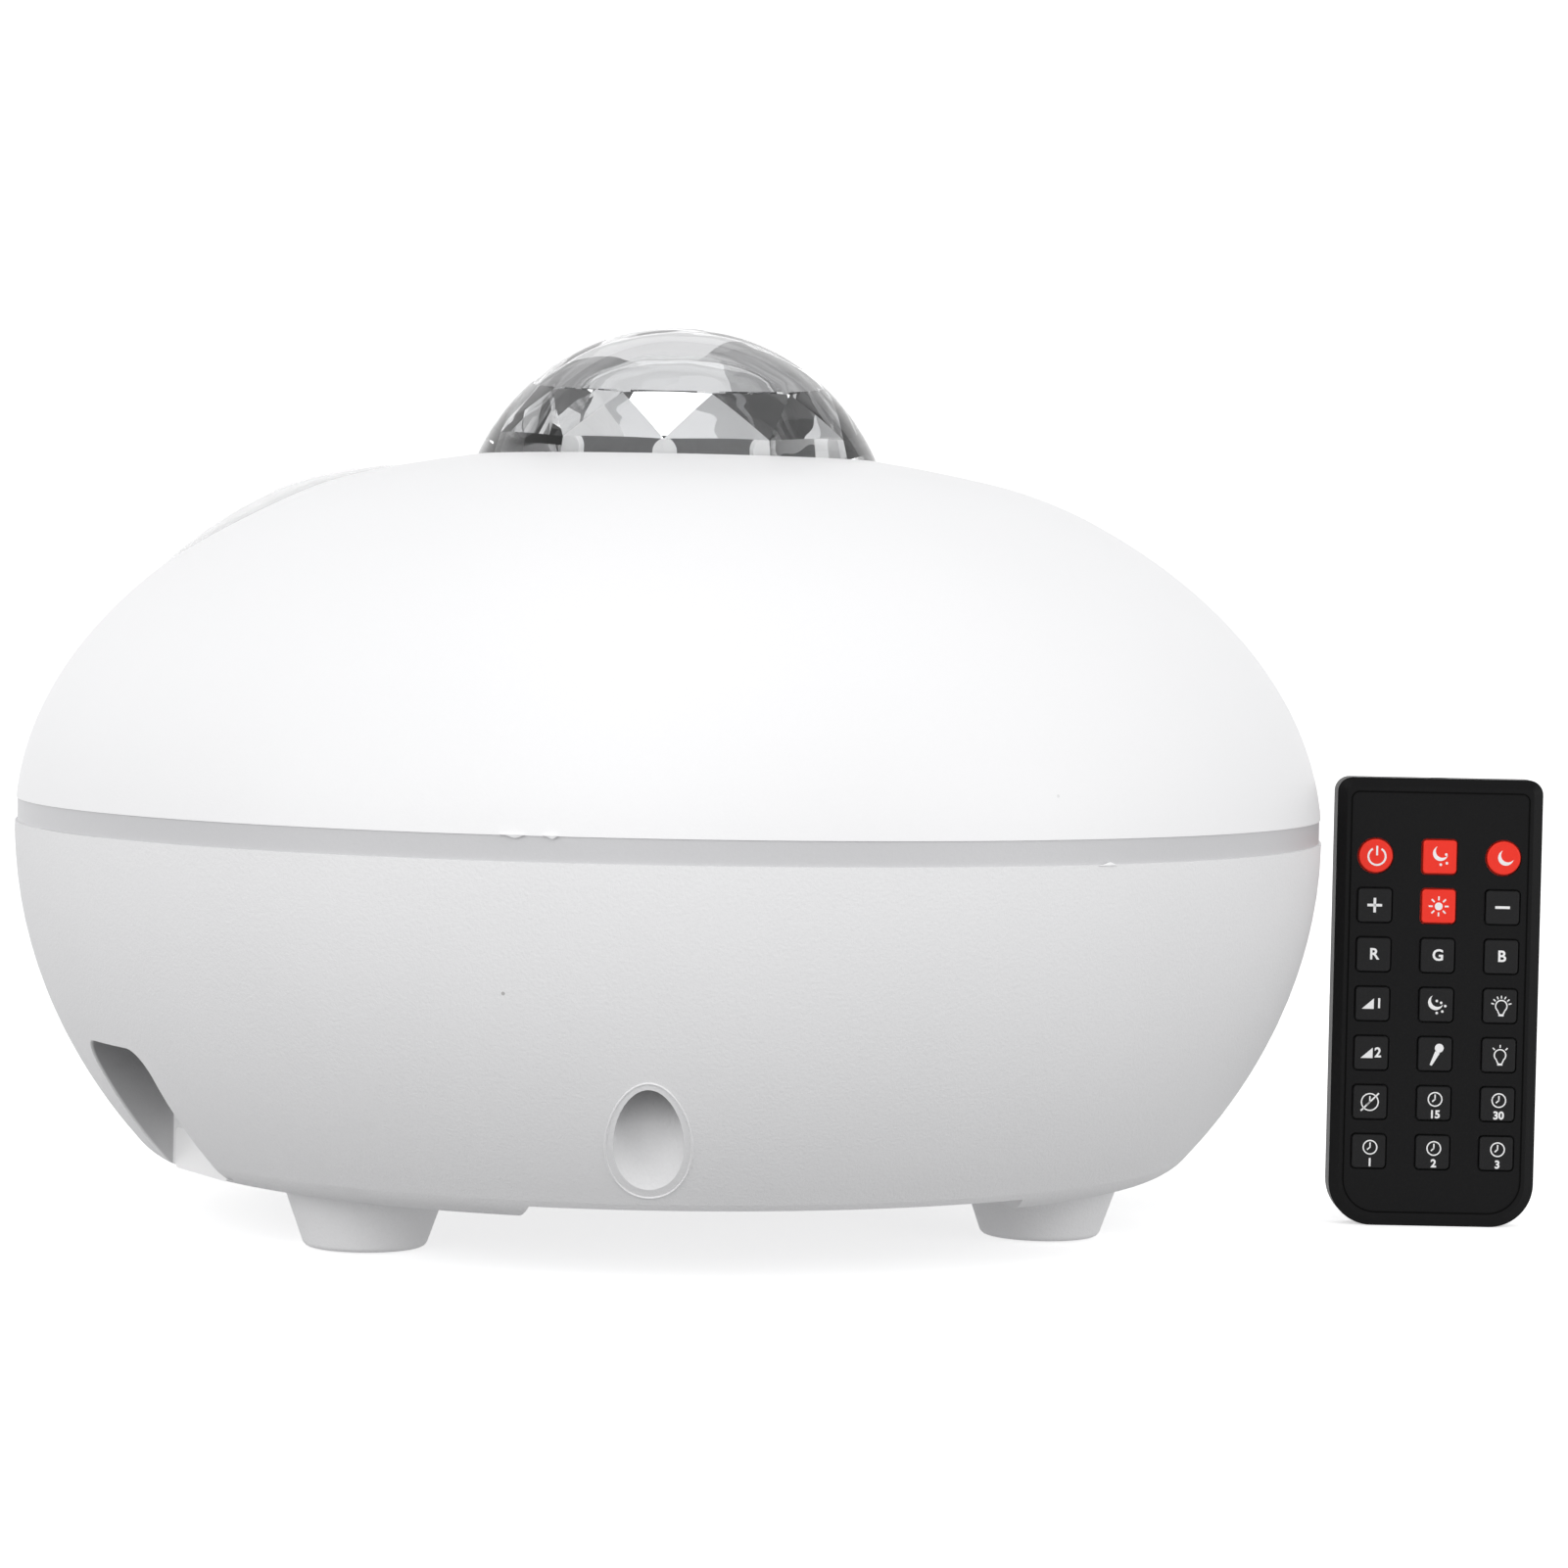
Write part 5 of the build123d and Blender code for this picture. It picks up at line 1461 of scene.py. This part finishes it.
def stroke_outline(x0, y0, x1, y1, width):
    """Outline of a straight stroke."""
    length = math.hypot(x1 - x0, y1 - y0)
    side_x, side_y = -(y1 - y0) / length * width / 2, (x1 - x0) / length * width / 2
    return [
        (x0 - side_x, y0 - side_y), (x1 - side_x, y1 - side_y),
        (x1 + side_x, y1 + side_y), (x0 + side_x, y0 + side_y),
    ]


def rounded_outline(width, height, top_corner, bottom_corner, steps):
    """Outline of an upright panel with one corner radius above and another below."""
    outline = []
    for side_x, side_y, corner, start in (
        (1, -1, bottom_corner, -90), (1, 1, top_corner, 0),
        (-1, 1, top_corner, 90), (-1, -1, bottom_corner, 180),
    ):
        for step in range(steps + 1):
            angle = math.radians(start + 90 * step / steps)
            outline.append((
                side_x * (width / 2 - corner) + corner * math.cos(angle),
                side_y * (height / 2 - corner) + corner * math.sin(angle),
            ))
    return outline


grey_ink = moulding(
    "grey_ink", (0.2, 0.2, 0.21), 0.5, grains=5000.0, depth=0.00001, mottling=0.3,
)
bm = bmesh.new()
mark_face = face_at(on_niche, button_side, inlet_height, button_face)
for outline in (
    arc_outline(0, 0, mark_radius, mark_width, 90 + mark_gap / 2, 450 - mark_gap / 2),
    stroke_outline(0, mark_bar[0], 0, mark_bar[1], mark_width),
):
    slab(bm, outline, mark_face, -mark_lift / 2, mark_lift / 2)
button_mark = piece_from("button_mark", bm, grey_ink)
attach(button_mark, "power_button")

label_paper = moulding(
    "label_paper", (0.95, 0.95, 0.95), 0.35, grains=1200.0, depth=0.00001,
)
label_outline = rounded_outline(
    2 * label_half_width, label_high - label_low, label_corner, label_corner, label_steps
)
bm = bmesh.new()
slab(
    bm, label_outline, face_at(on_niche, 0, (label_low + label_high) / 2),
    -label_thickness / 4, label_thickness * 3 / 4,
)
bare_label = piece_from("bare_label", bm, label_paper)
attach(bare_label, "projector")

# ---- Receiver and microphone ----
# A black infrared receiver with a domed eye, and a small aluminium microphone whose mouth
# is covered with black felt.
felt_radius = 3.4
felt_thickness = 0.12
felt_steps = 36
microphone_side = 14.0
microphone_rise = 5.2

eye_black = moulding(
    "eye_black", (0.012, 0.008, 0.01), 0.12, grains=500.0, depth=0.00001, mottling=0.2,
)
dress(eye_black, "ir_receiver")
dress(turned_aluminium, "microphone")
black_felt = moulding(
    "black_felt", (0.015, 0.015, 0.015), 0.95, grains=2500.0, depth=0.0003, mottling=0.4,
)
bm = bmesh.new()
slab(
    bm, disc_outline(0, microphone_side, felt_radius, felt_steps),
    face_at(on_board, 0, 0, microphone_rise), -felt_thickness / 2, felt_thickness / 2,
)
microphone_felt = piece_from("microphone_felt", bm, black_felt)
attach(microphone_felt, "projector")

# ---- Remote control, covers ----
# Two black covers snapped together, moulded with a fine matt texture. The face has a bevel
# all round and a fine raised line inside it; the back has grip ribs over the battery tray.
remote_turn = math.radians(14.57)
remote_right = 143.0            # of the projector's axis
remote_near = -33.5
remote_height = 42.9
remote_width = 39.2
remote_length = 85.8
remote_depth = 7.2
line_inset = 2.5
line_width = 0.3
line_lift = 0.08
line_sink = 0.05
line_top_corner = 1.6
line_bottom_corner = 6.4
line_steps = 10
rib_count = 7
rib_size = (13.0, 0.6, 0.2)
rib_bevel = 0.1
rib_sink = 0.05
rib_start = 6.0                 # of the lowest rib over the remote's lower end
rib_pitch = 1.5

remote_middle = Vector((axis_x / MM + remote_right, remote_near, remote_height))
remote_across = Vector((math.cos(remote_turn), -math.sin(remote_turn), 0))
remote_out = Vector((-math.sin(remote_turn), -math.cos(remote_turn), 0))
on_remote = on_plane(remote_middle, remote_across, remote_out)
on_remote_back = on_plane(
    remote_middle - remote_out * (remote_depth - rib_sink), -remote_across, -remote_out
)
cover_black = moulding(
    "cover_black", (0.0035, 0.0035, 0.0038), 0.42, grains=2600.0, depth=0.00003,
    specular=0.12, mottling=0.1,
)
dress(cover_black, "remote_front_cover", "remote_rear_cover", "battery_tray")

line_black = moulding(
    "line_black", (0.0015, 0.0015, 0.0015), 0.6, grains=2600.0, depth=0.00002, specular=0.05,
)
outer_line, inner_line = (
    rounded_outline(
        remote_width - 2 * (line_inset + inset), remote_length - 2 * (line_inset + inset),
        line_top_corner - inset, line_bottom_corner - inset, line_steps,
    )
    for inset in (0.0, line_width)
)
bm = bmesh.new()
skin(bm, [
    loop_of(bm, outline, on_remote, rise)
    for outline, rise in (
        (outer_line, -line_sink), (outer_line, line_lift),
        (inner_line, line_lift), (inner_line, -line_sink),
    )
], closed=True)
face_line = piece_from("face_line", bm, line_black)
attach(face_line, "remote")

bm = bmesh.new()
for number in range(rib_count):
    rise = -remote_length / 2 + rib_start + number * rib_pitch
    block(bm, on_remote_back, (0.0, rise), rib_size, rib_bevel)
grip_ribs = piece_from("grip_ribs", bm, cover_black)
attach(grip_ribs, "remote")

# ---- Remote control, inside ----
# A dark green board with carbon pads under the keys, the clear infrared LED at its top end
# and a coin cell of stainless steel in the sliding tray. A plus is printed on the cell.
key_rows = 7
key_columns = 3
key_pitch_across = 12.2
key_pitch_along = 9.43
first_row = 28.0
board_face = -1.85
carbon_radius = 2.2
carbon_steps = 20
cell_middle = -27.1
cell_face = -2.9
plus_size = 5.0
plus_width = 0.8
print_half = 0.03               # half the thickness of what is printed on the board and cell

remote_green = circuit(
    "remote_green", (0.006, 0.06, 0.02), (0.015, 0.13, 0.045), tracks=320.0,
    turn=(math.pi / 2, 0.0, 0.0),
)
dress(remote_green, "remote_board")
led_resin = clear_plastic("led_resin", (0.85, 0.9, 1.0), 0.05, smears=0.1, ripple=0.00001)
dress(led_resin, "remote_ir_led")
cell_steel = metal(
    "cell_steel", (0.68, 0.68, 0.69), 0.22, lines=1000.0, stretch=(0.1, 1.0, 1.0),
)
dress(cell_steel, "coin_cell")

cell_ink = moulding(
    "cell_ink", (0.02, 0.02, 0.02), 0.5, grains=4000.0, depth=0.00001, mottling=0.3,
)
bm = bmesh.new()
slab(
    bm, cross_outline(plus_size, plus_width), face_at(on_remote, 0, cell_middle, cell_face),
    -print_half, print_half,
)
cell_plus = piece_from("cell_plus", bm, cell_ink)
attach(cell_plus, "battery_tray")

carbon = moulding("carbon", (0.01, 0.01, 0.01), 0.7, grains=4000.0, depth=0.00002, mottling=0.3)
key_places = [
    ((column - (key_columns - 1) / 2) * key_pitch_across, first_row - row * key_pitch_along)
    for row in range(key_rows)
    for column in range(key_columns)
]
bm = bmesh.new()
for x, y in key_places:
    pad_face = face_at(on_remote, x, y, board_face)
    slab(bm, disc_outline(0, 0, carbon_radius, carbon_steps), pad_face, -print_half, print_half)
carbon_pads = piece_from("carbon_pads", bm, carbon)
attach(carbon_pads, "remote")

# ---- Remote control, keys ----
# Soft black keys, and four red ones, stand just proud of the face. Each carries a white
# printed legend of lines, letters or numbers.
key_top = 0.35
ink_lift = 0.04
ink_sink = 0.03
weld_distance = 0.000002        # in metres
letter_weight = 0.07            # how much a letter's strokes are thickened on each side
bulb_line = 0.24                # widths of the legends' strokes
hand_line = 0.26
ray_line = 0.3
power_line = 0.36
sign_line = 0.5
moon_radius = 1.45
moon_turn = 50                  # the way a moon opens, in degrees
big_letter = (0.1, 0.0, 3.0)    # middle and height of a key's letters
beside_wedge = (1.3, 0.0, 2.6)
under_clock = (0.25, -2.2, 2.1)

key_black = moulding(
    "key_black", (0.009, 0.009, 0.0095), 0.5, grains=3000.0, depth=0.00003,
    specular=0.17, mottling=0.15,
)
key_red = moulding(
    "key_red", (0.95, 0.03, 0.012), 0.45, grains=3000.0, depth=0.00003,
    specular=0.3, mottling=0.06,
)
white_ink = moulding(
    "white_ink", (0.95, 0.95, 0.95), 0.5, grains=5000.0, depth=0.00001, mottling=0.15,
)


def crescent_outline(x, y, radius, turn, steps=20):
    """Outline of a thin crescent moon; turn is the way it opens, in degrees."""
    shift, bite = radius * 0.42, radius * 0.9
    cross = (radius**2 - bite**2 + shift**2) / (2 * shift)
    outer_angle = math.acos(cross / radius)
    bite_angle = math.acos((cross - shift) / bite)
    cosine, sine = math.cos(math.radians(turn)), math.sin(math.radians(turn))
    outline = []
    for middle, reach, start, parts in (
        (0.0, radius, outer_angle, range(steps + 1)),
        (shift, bite, bite_angle, range(steps - 1, 0, -1)),
    ):
        for step in parts:
            angle = start + (2 * math.pi - 2 * start) * step / steps
            along, aside = middle + reach * math.cos(angle), reach * math.sin(angle)
            outline.append((x + along * cosine - aside * sine, y + along * sine + aside * cosine))
    return outline


def moon_outlines(x, y, radius, stars, star_radius):
    """A crescent moon, with small stars drawn as dots."""
    dots = [disc_outline(star_x, star_y, star_radius) for star_x, star_y in stars]
    return [crescent_outline(x, y, radius, moon_turn), *dots]


def ray_outlines(x, y, near, far, width, angles):
    """Straight rays round a point."""
    rays = []
    for angle in angles:
        cosine, sine = math.cos(math.radians(angle)), math.sin(math.radians(angle))
        rays.append(stroke_outline(
            x + near * cosine, y + near * sine, x + far * cosine, y + far * sine, width
        ))
    return rays


def bulb_outlines(angles):
    """The outline of a light bulb, its cap and its rays."""
    return [
        arc_outline(0.25, 0.0, 1.1, bulb_line, -55, 235),
        stroke_outline(0.92, -0.95, 0.62, -1.6, bulb_line),
        stroke_outline(-0.42, -0.95, -0.12, -1.6, bulb_line),
        stroke_outline(-0.25, -1.75, 0.75, -1.75, 0.4),
        *ray_outlines(0.25, 0.0, 1.45, 2.0, bulb_line, angles),
    ]


def clock_outlines(x, y, radius):
    """A clock face with two hands; its ring is two halves."""
    return [
        arc_outline(x, y, radius, bulb_line, 0, 180),
        arc_outline(x, y, radius, bulb_line, 180, 360),
        stroke_outline(x, y - 0.1, x, y + radius * 0.7, hand_line),
        stroke_outline(x + 0.08, y + 0.08, x - radius * 0.42, y - radius * 0.36, hand_line),
    ]


wedge = [(-2.0, -1.0), (0.3, -1.0), (0.3, 1.0)]
note_stem = [(-0.95, -2.05), (-0.55, -2.25), (0.95, 0.2), (0.05, 0.55)]
minus = stroke_outline(-1.4, 0, 1.4, 0, sign_line)
small_clock = clock_outlines(0.25, 0.75, 1.3)
legends = {
    # key, row by row from the upper left one: its outlines, in millimetres from its middle
    "key_power": [
        arc_outline(0.2, -0.1, 1.65, power_line, 120, 420),
        stroke_outline(0.2, 0.1, 0.2, 1.9, power_line),
    ],
    "key_moon_rays": moon_outlines(
        0.1, 0.7, moon_radius, ((1.2, 0.5), (0.2, -1.45), (1.35, -1.15)), 0.26
    ),
    "key_crescent": moon_outlines(0.4, 0.1, 1.5, (), 0.0),
    "key_faster": [minus, stroke_outline(0, -1.4, 0, 1.4, sign_line)],
    "key_led": [
        disc_outline(0, 0, 0.75, 20), *ray_outlines(0, 0, 1.15, 1.9, ray_line, range(0, 360, 45)),
    ],
    "key_slower": [minus],
    "key_red": [],
    "key_green": [],
    "key_blue": [],
    "key_fade_1": [wedge],
    "key_moon_stars": moon_outlines(
        -0.1, 0.45, moon_radius,
        ((0.1, 0.75), (0.95, 0.4), (1.75, -0.2), (1.2, -1.25), (0.15, -1.55)), 0.25,
    ),
    "key_bulb_bright": bulb_outlines(range(15, 166, 25)),
    "key_fade_2": [wedge],
    "key_sound": [disc_outline(0.8, 1.15, 0.85, 20), note_stem],
    "key_bulb_dim": bulb_outlines((45, 90, 135)),
    "key_no_timer": [
        *clock_outlines(0, 0, 1.6), stroke_outline(-1.7, -1.7, 1.7, 1.7, ray_line),
    ],
    "key_15_min": small_clock,
    "key_30_min": small_clock,
    "key_1_hour": small_clock,
    "key_2_hours": small_clock,
    "key_3_hours": small_clock,
}
letters = {
    "key_red": ("R", *big_letter),
    "key_green": ("G", *big_letter),
    "key_blue": ("B", *big_letter),
    "key_fade_1": ("1", *beside_wedge),
    "key_fade_2": ("2", *beside_wedge),
    "key_15_min": ("15", *under_clock),
    "key_30_min": ("30", *under_clock),
    "key_1_hour": ("1", *under_clock),
    "key_2_hours": ("2", *under_clock),
    "key_3_hours": ("3", *under_clock),
}
red_keys = ("key_power", "key_moon_rays", "key_crescent", "key_led")


def add_letters(bm, place, text, x, y, size):
    """Add raised letters, centred on a point of a face."""
    curve = bpy.data.curves.new("letters", "FONT")
    curve.body = text
    curve.size = size
    curve.align_x = "CENTER"
    curve.align_y = "CENTER"
    curve.resolution_u = 4
    curve.offset = letter_weight
    curve.extrude = (ink_lift + ink_sink) / 2
    writing = bpy.data.objects.new("letters", curve)
    bpy.context.scene.collection.objects.link(writing)
    graph = bpy.context.evaluated_depsgraph_get()
    mesh = bpy.data.meshes.new_from_object(writing.evaluated_get(graph), depsgraph=graph)
    middle_z = (ink_lift - ink_sink) / 2
    for vertex in mesh.vertices:
        vertex.co = place(vertex.co.x + x, vertex.co.y + y, vertex.co.z + middle_z)
    bm.from_mesh(mesh)
    bpy.data.objects.remove(writing)
    bpy.data.curves.remove(curve)
    bpy.data.meshes.remove(mesh)


for (x, y), (key, outlines) in zip(key_places, legends.items()):
    dress(key_red if key in red_keys else key_black, key)
    key_face = face_at(on_remote, x, y, key_top)
    bm = bmesh.new()
    for outline in outlines:
        slab(bm, outline, key_face, -ink_sink, ink_lift)
    if key in letters:
        add_letters(bm, key_face, *letters[key])
    bmesh.ops.remove_doubles(bm, verts=bm.verts, dist=weld_distance)
    legend = piece_from(f"legend_{key}", bm, white_ink)
    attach(legend, key)
